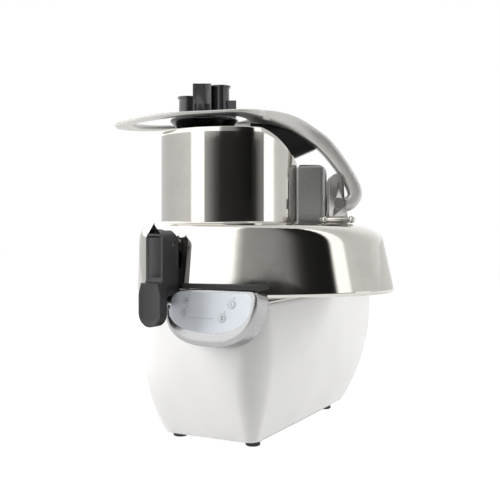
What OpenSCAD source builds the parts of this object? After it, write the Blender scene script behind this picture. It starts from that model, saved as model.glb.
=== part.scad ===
// Countertop vegetable cutter: a moulded motor base, a polished lid with a round hopper,
// a pressing lever with its feed tube and pusher, and the belt-driven discs inside.
// Millimetres, +Z up, standing on its feet at Z = 0, front of the base towards -Y.

/* [Base] */
// Width of the motor housing at its top edge
base_w = 200; // [190:1:215]
// Width of the motor housing at its bottom edge
base_foot_w = 144; // [130:1:160]
// Front edge of the housing ahead of the drive axis, at the top corners
base_front = 88; // [84:1:96]
// Rear edge of the housing behind the drive axis, at the top
base_rear = 335; // [320:1:345]
// How far the front draws in at the bottom
front_rake = 33; // [20:1:36]
// How far the rear draws in at the bottom
rear_rake = 72; // [40:1:90]
// How far the front bows out between its corners
front_bow = 15; // [8:1:18]
// Height of the housing's top edge above the table
base_top = 197; // [190:1:204]
// Wall of the moulded housing
base_wall = 4; // [3:0.5:5]
// Height of the rubber feet
foot_h = 8; // [6:0.5:12]
// Diameter of the rubber feet
foot_d = 22; // [18:1:26]
// Thickness of the steel deck
deck_t = 3; // [2:0.5:4]

/* [Lid] */
// Turn of the lid, hopper and lever from the width of the base
top_yaw = 27.4; // [20:0.2:34]
// Height of the lid's lower rim above the table
lid_rim_z = 206; // [204:1:210]
// Height of the lid's flat top above the table
lid_top_z = 302; // [298:1:306]
// Reach of the lid from the drive axis to its round end
lid_left = 131; // [128:1:136]
// Reach of the lid from the drive axis to its discharge end
lid_right = 235; // [220:1:245]
// Half the depth of the lid at its rim
lid_half = 124; // [121:1:130]
// Sheet of the lid
lid_wall = 2.5; // [2:0.25:3.5]

/* [Hopper and lever] */
// Outer diameter of the hopper
hopper_d = 194; // [186:1:198]
// Sheet of the hopper
hopper_wall = 2.5; // [2:0.25:3.5]
// Height of the hopper's mouth above the table
hopper_top_z = 430; // [424:1:432]
// Distance from the drive axis to the lever's pivot
pivot_u = 155; // [150:1:158]
// Height of the lever's pivot above the table
pivot_z = 330; // [326:1:334]
// Diameter of the lever's pivot pin
pivot_d = 10; // [8:1:12]
// Outer diameter of the feed tube
tube_d = 56; // [50:1:60]
// Distance of the feed tube from the drive axis, towards the grip
tube_offset = 36; // [33:1:38]
// Wall of the feed tube
tube_wall = 2.5; // [2:0.25:3]
// Radial gap between the pusher and its tube
pusher_gap = 0.5; // [0.3:0.1:1]

/* [Drive and discs] */
// Diameter of the cutting disc
disc_d = 190; // [180:1:194]
// Height of the cutting disc's upper face above the table
disc_z = 262; // [258:1:266]
// Radial clearance between the disc and the wall of the cutting chamber
chamber_gap = 5; // [4:0.5:7]
// Diameter of the drive shaft
shaft_d = 16; // [14:1:18]
// Diameter of the motor body
motor_d = 116; // [100:1:120]
// Distance from the drive axis back to the motor shaft
motor_y = 150; // [145:1:160]
// Pitch radius of the motor pulley
small_pulley_r = 24; // [20:1:26]
// Pitch radius of the drive pulley
large_pulley_r = 48; // [44:1:50]

/* [Controls and latch] */
// Width of the control panel
panel_w = 136; // [130:1:142]
// Height of the control panel
panel_h = 70; // [62:1:74]
// Lean of the control panel from upright
panel_lean = 10; // [6:1:14]
// Diameter of the four keys
key_d = 12; // [10:0.5:13]
// Travel of each key
key_travel = 0.6; // [0.4:0.1:1]
// Width of the latch handle
latch_w = 28; // [24:1:32]

/* [Hidden] */
$fn = 64;

// Colours
white_abs = [0.95, 0.95, 0.94];
steel = [0.78, 0.77, 0.75];
dark_steel = [0.45, 0.45, 0.46];
black_plastic = [0.1, 0.1, 0.11];
panel_grey = [0.66, 0.66, 0.66];
face_grey = [0.84, 0.87, 0.9];
rubber_black = [0.06, 0.06, 0.06];
cast_grey = [0.6, 0.61, 0.62];
board_green = [0.1, 0.35, 0.2];

// Everything is drawn about the drive axis and moved once to its place
module placed() { translate([drive_x, drive_y, 0]) children(); }
// The lid, hopper and lever stand turned about the drive axis
module turned() { placed() rotate([0, 0, top_yaw]) children(); }

// Base form

wall_steps = 14;
lean_power = 2.6;
corner_r = 16;
base_h = base_top - foot_h;

// Draw-in of a wall at the height fraction t, nothing at the top and all of it at the bottom
function drawn_in(t, rake) = rake * pow(1 - t, lean_power);
// Half profile of a leaning wall, as points [offset, height]
function wall_curve(edge, rake, side, inset) = [
    for (i = [0 : wall_steps])
        let (t = i / wall_steps)
        [side * (edge - inset - drawn_in(t, rake)), foot_h + base_h * t]
];
function reversed(list) = [for (i = [len(list) - 1 : -1 : 0]) list[i]];
// Arc points about a centre
function arc(cx, cy, r, a0, a1, n) = [
    for (i = [0 : n]) let (a = a0 + (a1 - a0) * i / n) [cx + r * cos(a), cy + r * sin(a)]
];
// Plan of the base at its top edge, bowed at the front
function base_plan(inset) =
    let (hw = base_w / 2 - inset, r = corner_r - inset, yf = -base_front + inset, yr = base_rear - inset)
    concat(
        [for (p = arc(-hw + r, yf + r, r, 180, 270, 8)) bowed(p, hw)],
        [for (i = [1 : 9]) bowed([(-hw + r) + (2 * (hw - r)) * i / 10, yf], hw)],
        [for (p = arc(hw - r, yf + r, r, 270, 360, 8)) bowed(p, hw)],
        arc(hw - r, yr - r, r, 0, 90, 8),
        arc(-hw + r, yr - r, r, 90, 180, 8)
    );
function bowed(p, hw) = [p[0], p[1] - front_bow * (1 - pow(p[0] / hw, 2))];

// The housing's outer form, or its inside when inset by the wall
module base_form(inset) {
    intersection() {
        linear_extrude(base_top) polygon(base_plan(inset));
        translate([0, base_rear + 40, 0]) rotate([90, 0, 0]) linear_extrude(base_rear + 240)
            polygon(concat(
                wall_curve(base_w / 2, (base_w - base_foot_w) / 2, 1, inset),
                reversed(wall_curve(base_w / 2, (base_w - base_foot_w) / 2, -1, inset))
            ));
        translate([-base_w, 0, 0]) rotate([90, 0, 90]) linear_extrude(2 * base_w)
            polygon(concat(
                wall_curve(base_front + front_bow, front_rake + front_bow * 0.5, -1, inset),
                reversed(wall_curve(base_rear, rear_rake, 1, inset))
            ));
    }
}

inlet_w = 27;
inlet_h = 20;
inlet_z = 60;
inlet_stand = 9.4;
inlet_y = base_rear - drawn_in((inlet_z - foot_h) / base_h, rear_rake);
floor_t = 5;
screw_d = 5;

module motor_housing() {
    color(white_abs) placed() difference() {
        base_form(0);
        intersection() {
            base_form(base_wall);
            translate([-base_w, -base_w, foot_h + floor_t]) cube([2 * base_w, 3 * base_w, base_h]);
        }
        // vent slots in the floor under the motor
        for (i = [-4 : 4]) translate([i * 12 - 3, motor_y - 26, foot_h - 1]) cube([6, 52, floor_t + 2]);
        // hole for the power inlet
        translate([-inlet_w / 2, inlet_y - 30, inlet_z - inlet_h / 2]) cube([inlet_w, 60, inlet_h]);
    }
}

bottom_t = 2;
foot_x = base_foot_w / 2 - 14;
foot_front = -base_front + front_rake + 16;
foot_rear = base_rear - rear_rake - 46;
foot_places = [[-foot_x, foot_front], [foot_x, foot_front], [-foot_x, foot_rear], [foot_x, foot_rear]];

module bottom_plate() {
    color(dark_steel) placed() translate([0, 0, foot_h - bottom_t]) difference() {
        linear_extrude(bottom_t)
            polygon(concat(
                arc(-foot_x, foot_front, foot_d / 2, 180, 270, 6),
                arc(foot_x, foot_front, foot_d / 2, 270, 360, 6),
                arc(foot_x, foot_rear, foot_d / 2, 0, 90, 6),
                arc(-foot_x, foot_rear, foot_d / 2, 90, 180, 6)
            ));
        for (i = [-4 : 4]) translate([i * 12 - 2, motor_y - 24, -1]) cube([4, 48, bottom_t + 2]);
    }
}

module rubber_feet() {
    color(rubber_black) placed() for (p = foot_places) translate([p[0], p[1], 0])
        rotate_extrude() polygon([
            [0, 0], [foot_d / 2 - 2, 0], [foot_d / 2 - 0.6, 1.2], [foot_d / 2 - 1.5, foot_h - bottom_t],
            [0, foot_h - bottom_t]
        ]);
}

// Deck, with the ledge that carries the lid

deck_top = base_top + deck_t;
seat_d = 52;

module deck_plate() {
    color(steel) placed() difference() {
        translate([0, 0, base_top]) linear_extrude(deck_t) polygon(base_plan(1));
        translate([0, 0, base_top - 1]) cylinder(d = seat_d, h = deck_t + 2);
        for (p = deck_screw_places)
            translate([p[0], p[1], base_top - 1]) cylinder(d = screw_d, h = deck_t + 2);
    }
}

deck_screw_x = base_w / 2 - 16;
deck_screw_places = [
    for (x = [-deck_screw_x, deck_screw_x]) for (y = [200, base_rear - 24]) [x, y]
];

module deck_screws() {
    color(dark_steel) placed() for (p = deck_screw_places) translate([p[0], p[1], 0]) {
        translate([0, 0, deck_top]) cylinder(d1 = 10, d2 = 7, h = 3);
        translate([0, 0, base_top - 9]) cylinder(d = screw_d, h = deck_t + 9);
    }
}

// Control panel on the front of the base, a half-moon plate leaning back

panel_x = 42;
panel_top_z = 217.5;
panel_y = -126;
panel_d = 15;
face_t = 1.5;
bezel_rim = 7.5;
lower_rim = 3;
face_w = panel_w - 2 * bezel_rim;
face_h = panel_h - 2 * bezel_rim - lower_rim;
face_gap = 0.15;
key_slack = 0.6;
plate_n = 28;

// Half-moon outline below a flat top edge, drawn in a plate's own plane
function half_moon(w, h, r, left_r) = concat(
    arc(w / 2 - r, -r, r, 0, 90, 6),
    arc(-w / 2 + left_r, -left_r, left_r, 90, 180, 8),
    [for (i = [1 : plate_n - 1])
        let (a = 180 + 180 * i / plate_n, c = cos(a), s = sin(a), side_r = c < 0 ? left_r : r)
        [w / 2 * sign(c) * pow(abs(c), 0.8), -side_r - (h - side_r) * pow(abs(s), 0.8)]]
);
// The panel's own plane: X across, Y up the plate, Z out of its face
module on_panel() {
    placed() translate([panel_x, panel_y, panel_top_z]) rotate([90 - panel_lean, 0, 0]) children();
}

module control_bezel() {
    color(panel_grey) difference() {
        on_panel() difference() {
            translate([0, 0, -panel_d - 16]) linear_extrude(panel_d + 16)
                polygon(half_moon(panel_w, panel_h, 10, 22));
            translate([0, 0, -face_t]) linear_extrude(face_t + 1) translate([0, -bezel_rim / 2])
                polygon(half_moon(face_w, face_h, 8, 16));
            // pocket for the circuit board behind the keys
            translate([-pocket_w / 2, -pocket_top - pocket_h, -pocket_deep])
                cube([pocket_w, pocket_h, pocket_deep]);
        }
        placed() base_form(-0.01);
        clear_of_lid();
        latch_room();
    }
}

pocket_w = 88;
pocket_h = 40;
pocket_top = 10;
pocket_deep = 7;
lid_gap = 0.6;

// Room left in front of the lid by what stands on the base
module clear_of_lid() {
    turned() translate([0, 0, lid_rim_z - 3]) linear_extrude(lid_top_z) polygon(lid_plan(-lid_gap, 0));
    placed() translate([0, 0, base_top - 0.01]) {
        linear_extrude(60) polygon(base_plan(0.5));
        cylinder(r = chamber_r + chamber_wall + lid_gap, h = 60);
    }
}

// Room left beside the console for the latch handle
module latch_room() {
    at_latch() translate([-20, -grip_half - 1, hook_z - 1]) cube([80, 2 * grip_half + 2, 60]);
    // the hook dips a little as it swings out
    at_latch() translate([-6, -hook_w / 2 - 1, hook_z - 4]) cube([40, hook_w + 2, 10]);
}

key_places = [[-34, -16], [-36, -32], [32, -18], [20, -36]];

module control_face() {
    color(face_grey) difference() {
        on_panel() translate([0, -bezel_rim / 2 - face_gap, -face_t]) linear_extrude(face_t)
            polygon(half_moon(face_w - 2 * face_gap, face_h - 2 * face_gap, 8, 16));
        on_panel() for (p = key_places)
            translate([p[0], p[1], -face_t - 1]) cylinder(d = key_d + key_slack, h = face_t + 2);
        latch_room();
    }
}

board_t = 1.6;
key_skirt = 0.6;
key_stem = pocket_deep - board_t - face_t - key_skirt - key_travel - 0.2;

module control_board() {
    color(board_green) on_panel()
        translate([-pocket_w / 2 + 0.5, -pocket_top - pocket_h + 0.5, -pocket_deep]) difference() {
            cube([pocket_w - 1, pocket_h - 1, board_t]);
            for (x = [4, pocket_w - 5]) translate([x, 4, -1]) cylinder(d = 3, h = board_t + 2);
        }
}

// A key: a shallow domed cap with its stem, proud of the face by a little
key_proud = 1;
module key(p) {
    color(face_grey) on_panel() translate([p[0], p[1], 0]) {
        translate([0, 0, -face_t - key_skirt]) cylinder(d = key_d, h = face_t + key_skirt + key_proud);
        translate([0, 0, -face_t - key_skirt - key_stem]) cylinder(d = key_d / 2, h = key_stem);
    }
}
module stop_key() { key(key_places[0]); }
module speed_one_key() { key(key_places[1]); }
module start_key() { key(key_places[2]); }
module speed_two_key() { key(key_places[3]); }

seal_h = 6;
// Black strip between the console and the lid
module console_seal() {
    color(rubber_black) difference() {
        placed() translate([panel_x - panel_w / 2 + 2, panel_y + 1.5, panel_top_z])
            cube([panel_w - 6, 60, seal_h]);
        clear_of_lid();
        latch_room();
    }
}

// Appliance inlet at the rear, 27 by 20 mm
inlet_slack = 0.2;
inlet_deep = 22;
module power_inlet() {
    color(black_plastic) placed() translate([0, inlet_y, inlet_z]) difference() {
        union() {
            translate([-inlet_w / 2 + inlet_slack, -inlet_deep, -inlet_h / 2 + inlet_slack])
                cube([inlet_w - 2 * inlet_slack, inlet_deep + inlet_stand, inlet_h - 2 * inlet_slack]);
            translate([-inlet_w / 2 - 4, inlet_stand, -inlet_h / 2 - 4]) cube([inlet_w + 8, 3, inlet_h + 8]);
        }
        translate([-inlet_w / 2 + 2, -6, -inlet_h / 2 + 2]) cube([inlet_w - 4, 30, inlet_h - 4]);
    }
}

// Motor, belt and drive shaft

motor_h = 110;
motor_bottom = foot_h + floor_t;
motor_top = motor_bottom + motor_h;
plate_t = 4;
motor_shaft_d = 12;
pulley_h = 14;
belt_z = motor_top + plate_t + 10;
belt_t = 3;
belt_w = 10;
run_gap = 0.05;
fin_n = 12;
fin_end = 14;

module motor_body() {
    color(dark_steel) placed() translate([0, motor_y, motor_bottom]) difference() {
        union() {
            cylinder(d = motor_d, h = motor_h);
            for (i = [0 : fin_n - 1]) rotate([0, 0, i * 360 / fin_n])
                translate([motor_d / 2 - 2, -1.5, fin_end]) cube([5, 3, motor_h - 2 * fin_end]);
        }
        translate([0, 0, 12]) cylinder(d = motor_shaft_d + 2 * run_gap, h = motor_h);
    }
}

module motor_shaft() {
    color(steel) placed() translate([0, motor_y, motor_bottom + 12.5])
        cylinder(d = motor_shaft_d, h = belt_z + pulley_h - motor_bottom - 12.5 + 2);
}

// Bridge that carries the motor, standing on posts from the floor
post_places = [for (x = [-44, 44]) for (y = [-62, 62]) [x, y]];
module motor_plate() {
    color(cast_grey) placed() translate([0, motor_y, 0]) difference() {
        union() {
            translate([-54, -72, motor_top]) cube([108, 144, plate_t]);
            for (p = post_places) translate([p[0], p[1], motor_bottom]) cylinder(d = 10, h = motor_h);
        }
        translate([0, 0, motor_top - 1]) cylinder(d = motor_shaft_d + 10, h = plate_t + 2);
    }
}

// A flanged pulley with a bore
module pulley(pitch_r, bore) {
    rotate_extrude() polygon([
        [bore / 2, 0], [pitch_r + 3, 0], [pitch_r + 3, 1.6], [pitch_r, 1.9], [pitch_r, pulley_h - 1.9],
        [pitch_r + 3, pulley_h - 1.6], [pitch_r + 3, pulley_h], [bore / 2, pulley_h]
    ]);
}
module motor_pulley() {
    color(cast_grey) placed() translate([0, motor_y, belt_z]) pulley(small_pulley_r, motor_shaft_d);
}
module drive_pulley() {
    color(cast_grey) placed() translate([0, 0, belt_z]) pulley(large_pulley_r, shaft_d);
}

// Open belt round both pulleys
belt_lean = asin((large_pulley_r - small_pulley_r) / motor_y);
function belt_outline(grow) = concat(
    arc(0, 0, large_pulley_r + grow, 180 - belt_lean, 360 + belt_lean, 40),
    arc(0, motor_y, small_pulley_r + grow, belt_lean, 180 - belt_lean, 28)
);
belt_clear = 0.3;
module drive_belt() {
    color(rubber_black) placed() translate([0, 0, belt_z + (pulley_h - belt_w) / 2])
        linear_extrude(belt_w) difference() {
            polygon(belt_outline(belt_clear + belt_t));
            polygon(belt_outline(belt_clear));
        }
}

shaft_bottom = belt_z - 14;
shaft_top = disc_z + 6;
bearing_d = 35;
bearing_h = 11;
upper_bearing_z = base_top - bearing_h - 2;
lower_bearing_z = belt_z - 13;

module drive_shaft() {
    color(steel) placed() {
        translate([0, 0, shaft_bottom]) cylinder(d = shaft_d, h = shaft_top - shaft_bottom);
        // cross key that turns the discs
        translate([-14, -3, disc_z - 32]) cube([28, 6, 6]);
    }
}

cup_z = lower_bearing_z - 3;
cup_d = bearing_d + 12;

// Housing of the two bearings, hung from the deck by its flange, open at the side for the belt
module bearing_housing() {
    color(cast_grey) placed() difference() {
        union() {
            translate([0, 0, base_top - bearing_h - 8]) cylinder(d = seat_d + 8, h = bearing_h + 8);
            translate([0, 0, base_top]) cylinder(d = seat_d - 0.2, h = deck_t + 4);
            for (a = [210, 330, 270]) rotate([0, 0, a]) translate([large_pulley_r + 8, -6, cup_z])
                cube([6, 12, base_top - cup_z]);
            for (a = [210, 330, 270]) rotate([0, 0, a]) {
                translate([0, -6, base_top - 6]) cube([large_pulley_r + 14, 12, 6]);
                translate([0, -6, cup_z]) cube([large_pulley_r + 14, 12, 6]);
            }
            translate([0, 0, cup_z]) cylinder(d = cup_d, h = bearing_h - 2);
        }
        translate([0, 0, cup_z - 1]) cylinder(d = shaft_d + 6, h = base_top + 40 - cup_z);
        translate([0, 0, upper_bearing_z]) cylinder(d = bearing_d, h = bearing_h + 40);
        translate([0, 0, lower_bearing_z]) cylinder(d = bearing_d, h = bearing_h + 1);
        translate([0, 0, belt_z - 1]) cylinder(r = large_pulley_r + 7, h = pulley_h + 2);
    }
}

// A bearing as a ring of two races with its shields
module bearing() {
    difference() {
        cylinder(d = bearing_d, h = bearing_h);
        translate([0, 0, -1]) cylinder(d = shaft_d + 2 * run_gap, h = bearing_h + 2);
        for (z = [-1, bearing_h - 0.8]) translate([0, 0, z]) difference() {
            cylinder(d = bearing_d - 7, h = 1.8);
            translate([0, 0, -1]) cylinder(d = shaft_d + 6, h = 4);
        }
    }
}
module upper_bearing() { color(steel) placed() translate([0, 0, upper_bearing_z]) bearing(); }
module lower_bearing() { color(steel) placed() translate([0, 0, lower_bearing_z]) bearing(); }

module shaft_seal() {
    color(rubber_black) placed() translate([0, 0, upper_bearing_z + bearing_h]) rotate_extrude() polygon([
        [shaft_d / 2 + run_gap, 0], [bearing_d / 2, 0], [bearing_d / 2, 8], [shaft_d / 2 + 5, 8],
        [shaft_d / 2 + run_gap, 10]
    ]);
}

// Discs

hub_d = 40;
key_slot = 0.4;
ejector_z = disc_z - 36;
ejector_t = 3;

module hub_bore(z0, h) {
    translate([0, 0, z0 - 1]) cylinder(d = shaft_d + 2 * run_gap, h = h + 2);
}

module ejector_disc() {
    color(white_abs) placed() difference() {
        union() {
            translate([0, 0, ejector_z]) cylinder(d = disc_d - 2, h = ejector_t);
            translate([0, 0, ejector_z]) cylinder(d = hub_d, h = 20);
            for (i = [0 : 2]) rotate([0, 0, 120 * i]) translate([hub_d / 2 - 3, -2.5, ejector_z])
                cube([disc_d / 2 - hub_d / 2 - 1, 5, 16]);
        }
        hub_bore(ejector_z, 20);
        translate([-14 - key_slot, -3 - key_slot, ejector_z + 3.6])
            cube([28 + 2 * key_slot, 6 + 2 * key_slot, 30]);
    }
}

disc_t = 3;
blade_n = 2;
slot_in = 26;
slot_len = 62;
slot_w = 14;

module cutting_disc() {
    color(steel) placed() difference() {
        union() {
            translate([0, 0, disc_z - disc_t]) cylinder(d = disc_d, h = disc_t);
            translate([0, 0, disc_z - disc_t - 12]) cylinder(d = hub_d, h = 12);
        }
        hub_bore(disc_z - 16, 16);
        for (i = [0 : blade_n - 1]) rotate([0, 0, i * 360 / blade_n])
            translate([slot_in, -slot_w / 2, disc_z - disc_t - 1]) cube([slot_len, slot_w, disc_t + 2]);
    }
}

// Slicing blades, each ramped up out of its slot and seated on the slot's trailing edge
module disc_blades() {
    color(steel) placed() for (i = [0 : blade_n - 1]) rotate([0, 0, i * 360 / blade_n])
        translate([slot_in + 0.5, slot_w / 2 + 1, disc_z]) rotate([90, 0, 90]) linear_extrude(slot_len - 1)
            polygon([[0, 0], [14, 0], [14, 1.5], [2, 1.8], [-9, 3.6], [-9.4, 3.3]]);
}

module disc_knob() {
    color(black_plastic) placed() difference() {
        translate([0, 0, disc_z]) union() {
            cylinder(d = 38, h = 6);
            translate([0, 0, 6]) cylinder(d1 = 38, d2 = 20, h = 7);
        }
        translate([0, 0, disc_z - 1]) cylinder(d = shaft_d + 2 * run_gap, h = 7.5);
    }
}

// Wall of the chamber on the deck, open towards the discharge end
chamber_r = disc_d / 2 + chamber_gap;
chamber_wall = 2.5;
chamber_open = 62;
module chamber_ring() {
    color(steel) turned() difference() {
        translate([0, 0, deck_top]) cylinder(r = chamber_r + chamber_wall, h = chamber_top - deck_top);
        translate([0, 0, deck_top + 3]) cylinder(r = chamber_r, h = chamber_top);
        translate([0, 0, deck_top - 1]) cylinder(d = seat_d + 1, h = 10);
        translate([0, 0, deck_top + 3.02]) linear_extrude(60) polygon([
            [0, 0], [200, -200 * tan(chamber_open / 2)], [200, 200 * tan(chamber_open / 2)]
        ]);
    }
}
chamber_top = disc_z + 8;

// Two cheeks inside the lid that guide the cut food from the chamber to the open end
guide_half = 60;
guide_t = 2;
guide_start = chamber_r + chamber_wall + 6;
module discharge_guide() {
    color(steel) turned() intersection() {
        translate([0, 0, -0.01]) lofted(lid_rings(lid_wall), lid_n);
        for (side = [-1, 1]) translate([guide_start, side * guide_half - guide_t / 2, lid_rim_z + 3])
            cube([lid_right, guide_t, lid_top_z]);
    }
}

// Lid

lid_n = 60;
lid_draft_z = 278;
lid_left_draft = 3;
lid_right_draft = 16;
lid_half_draft = 7;
shoulder_left = 17;
shoulder_right = 58;
shoulder_half = 24;
half_power = 2.5;
shoulder_steps = 6;
plan_power = 2.25;

// Point of the lid's plan, an oval with squarer shoulders, between two ends
function oval(left, right, half, n) = [
    for (i = [0 : n - 1])
        let (a = 360 * i / n, c = cos(a), s = sin(a), p = 2 / plan_power)
        [(right - left) / 2 + (right + left) / 2 * sign(c) * pow(abs(c), p), half * sign(s) * pow(abs(s), p)]
];
function lid_plan(inset, draft) = oval(
    lid_left - inset - lid_left_draft * draft,
    lid_right - inset - lid_right_draft * draft,
    lid_half - inset - lid_half_draft * draft, lid_n
);
// Rings up the lid's wall and over its shoulder, each [height, left, right, half]
function lid_rings(inset) = concat(
    [[lid_rim_z, lid_left - inset, lid_right - inset, lid_half - inset]],
    [for (i = [0 : shoulder_steps])
        let (a = 90 * i / shoulder_steps, k = 1 - cos(a),
             z = lid_draft_z + (lid_top_z - lid_draft_z) * sin(a))
        [z - inset * sin(a),
         lid_left - lid_left_draft - inset - shoulder_left * k,
         lid_right - lid_right_draft - inset - shoulder_right * k,
         lid_half - lid_half_draft - inset - shoulder_half * pow(k, half_power)]]
);
// Closed solid through a stack of oval rings
module lofted(rings, n) {
    count = len(rings);
    points = [for (r = rings) for (p = oval(r[1], r[2], r[3], n)) [p[0], p[1], r[0]]];
    sides = [
        for (j = [0 : count - 2]) for (i = [0 : n - 1])
            [j * n + i, (j + 1) * n + i, (j + 1) * n + (i + 1) % n, j * n + (i + 1) % n]
    ];
    polyhedron(points, concat(
        sides,
        [[for (i = [0 : n - 1]) i]],
        [[for (i = [n - 1 : -1 : 0]) (count - 1) * n + i]]
    ), convexity = 4);
}

hopper_r = hopper_d / 2;
hopper_bore = hopper_r - hopper_wall;

module lid_shell() {
    color(steel) turned() difference() {
        lofted(lid_rings(0), lid_n);
        translate([0, 0, -0.01]) lofted(lid_rings(lid_wall), lid_n);
        translate([0, 0, lid_top_z - 20]) cylinder(r = hopper_r, h = 40, $fn = 96);
    }
}

hopper_bottom = disc_z + 10;
scoop_start = 44;
scoop_slope = 0.2845;
scoop_bow = 0.0103;
// Height of the hopper's edge where it is cut away for the lever's arm
function scoop_z(u) = hopper_top_z - scoop_slope * (u - scoop_start) - scoop_bow * pow(u - scoop_start, 2);
// Round hopper, cut away towards the pivot for the lever's arm
module hopper() {
    color(steel) turned() difference() {
        translate([0, 0, hopper_bottom]) cylinder(r = hopper_r, h = hopper_top_z - hopper_bottom, $fn = 96);
        translate([0, 0, hopper_bottom - 1]) cylinder(r = hopper_bore, h = 200, $fn = 96);
        translate([0, hopper_d, 0]) rotate([90, 0, 0]) linear_extrude(2 * hopper_d) polygon(concat(
            [for (i = [0 : 12]) [scoop_start + 5 * i, scoop_z(scoop_start + 5 * i)]],
            [[scoop_start + 60, hopper_top_z + 20], [scoop_start, hopper_top_z + 20]]
        ));
    }
}

// Rear hinge of the lid, along its long side

hinge_v = lid_half + 12;
hinge_z = lid_rim_z + 8;
hinge_pin_d = 8;
lug_places = [-6, 62];
lug_w = 16;
knuckle_r = 8;
side_gap = 0.4;

module hinge_lugs() {
    color(steel) turned() difference() {
        for (u = lug_places) translate([u, 0, 0]) {
            translate([-lug_w / 2, hinge_v, hinge_z]) rotate([0, 90, 0]) cylinder(r = knuckle_r, h = lug_w);
            translate([-lug_w / 2, hinge_v - 26, hinge_z]) cube([lug_w, 26, knuckle_r]);
        }
        translate([-30, hinge_v, hinge_z]) rotate([0, 90, 0]) cylinder(d = hinge_pin_d, h = 130);
        lofted(lid_rings(0), lid_n);
    }
}

module hinge_brackets() {
    color(steel) difference() {
        turned() for (u = lug_places) for (side = [-1, 1])
            translate([u + side * (lug_w / 2 + side_gap + 3), 0, 0]) {
                translate([-3, hinge_v, hinge_z]) rotate([0, 90, 0]) cylinder(r = knuckle_r - 1, h = 6);
                translate([-3, hinge_v - 7, deck_top]) cube([6, 14, hinge_z - deck_top]);
            }
        turned() translate([-60, hinge_v, hinge_z]) rotate([0, 90, 0])
            cylinder(d = hinge_pin_d + 2 * run_gap, h = 190);
    }
}

module hinge_pin() {
    color(dark_steel) turned() for (u = lug_places)
        translate([u - lug_w / 2 - 8, hinge_v, hinge_z]) rotate([0, 90, 0])
            cylinder(d = hinge_pin_d, h = lug_w + 16);
}

// Tower and lever bracket on the lid

tower_left = 104;
tower_right = 138;
tower_half = 21;
tower_top = 385;
tower_r = 14;
tower_round = 8;

module tower_housing() {
    color(cast_grey) turned() difference() {
        intersection() {
            translate([0, tower_half, 0]) rotate([90, 0, 0]) linear_extrude(2 * tower_half) polygon(concat(
                [[tower_left - 8, lid_top_z], [tower_right + 2, lid_top_z]],
                arc(tower_right - tower_r, tower_top - tower_r, tower_r, 0, 90, 6),
                arc(tower_left - 8 + tower_r / 2, tower_top - tower_r / 2, tower_r / 2, 90, 180, 3)
            ));
            translate([0, 0, lid_top_z - 20]) linear_extrude(200) polygon(concat(
                arc(tower_right - 10, -tower_half + 12, 12, 270, 360, 6),
                arc(tower_right - 10, tower_half - 12, 12, 0, 90, 6),
                [[tower_left - 12, tower_half], [tower_left - 12, -tower_half]]
            ));
            translate([tower_left - 20, 0, 0]) rotate([90, 0, 90]) linear_extrude(100) polygon(concat(
                arc(tower_half - tower_round, tower_top - tower_round, tower_round, 0, 90, 6),
                arc(tower_round - tower_half, tower_top - tower_round, tower_round, 90, 180, 6),
                [[-tower_half, lid_top_z], [tower_half, lid_top_z]]
            ));
        }
        translate([0, 0, lid_top_z - 30]) cylinder(r = hopper_r + 3.2, h = 200, $fn = 96);
        translate([106, -tower_half + 3, lid_top_z - 1]) cube([26, 2 * tower_half - 6, 66]);
    }
}

cheek_t = 7;
cheek_in = 13;
pin_gap = 0.05;
module lever_bracket() {
    color(steel) turned() difference() {
        for (side = [-1, 1]) translate([0, side * (cheek_in + cheek_t / 2) + cheek_t / 2, 0])
            rotate([90, 0, 0]) linear_extrude(cheek_t) polygon(concat(
                [[bracket_left, lid_top_z], [bracket_left + 28, lid_top_z]],
                arc(pivot_u - 1, pivot_z - 2, 12, -20, 40, 6),
                arc(bracket_left + 11, bracket_top - 11, 11, 30, 180, 10)
            ));
        translate([pivot_u, 40, pivot_z]) rotate([90, 0, 0]) cylinder(d = pivot_d + 2 * pin_gap, h = 80);
    }
}
bracket_left = 141.5;
bracket_top = 372;

module lever_pin() {
    color(dark_steel) turned() translate([pivot_u, cheek_in + cheek_t + 4, pivot_z]) rotate([90, 0, 0]) {
        cylinder(d = pivot_d, h = 2 * (cheek_in + cheek_t) + 8);
        cylinder(d = pivot_d + 5, h = 3.5);
        translate([0, 0, 2 * (cheek_in + cheek_t) + 4.5]) cylinder(d = pivot_d + 5, h = 3.5);
    }
}

// Rod beside the bracket's foot, with a ball at each end and two stand-offs
rod_left = 133;
rod_right = 171;
rod_v = -36;
rod_z = lid_top_z + 5;
rod_r = 3;
module stop_rod() {
    color(steel) turned() translate([0, rod_v, rod_z]) {
        translate([rod_left, 0, 0]) rotate([0, 90, 0])
            cylinder(r = rod_r, h = rod_right - rod_left, $fn = 32);
        for (u = [rod_left, rod_right]) translate([u, 0, 0]) sphere(r = rod_r + 2, $fn = 32);
        translate([tower_right - 9, 0, 0]) rotate([-90, 0, 0])
            cylinder(r = rod_r, h = -rod_v - tower_half, $fn = 32);
        translate([bracket_left + 18, 0, 0]) rotate([-90, 0, 0])
            cylinder(r = rod_r, h = -rod_v - cheek_in - cheek_t, $fn = 32);
    }
}

// Lever: a flat loop round the feed tube, then an arm that bows down to the pivot

loop_left = 164;
loop_half = 80;
loop_round_u = -62;
loop_wide_end = 10;
arm_start = 128;
arm_half = 12.5;
loop_open_left = 136;
loop_open_right = 26;
loop_open_half = 61;
loop_t = 11;
arm_t = 20;
loop_tilt = 2.7;
loop_z = 448;

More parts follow.
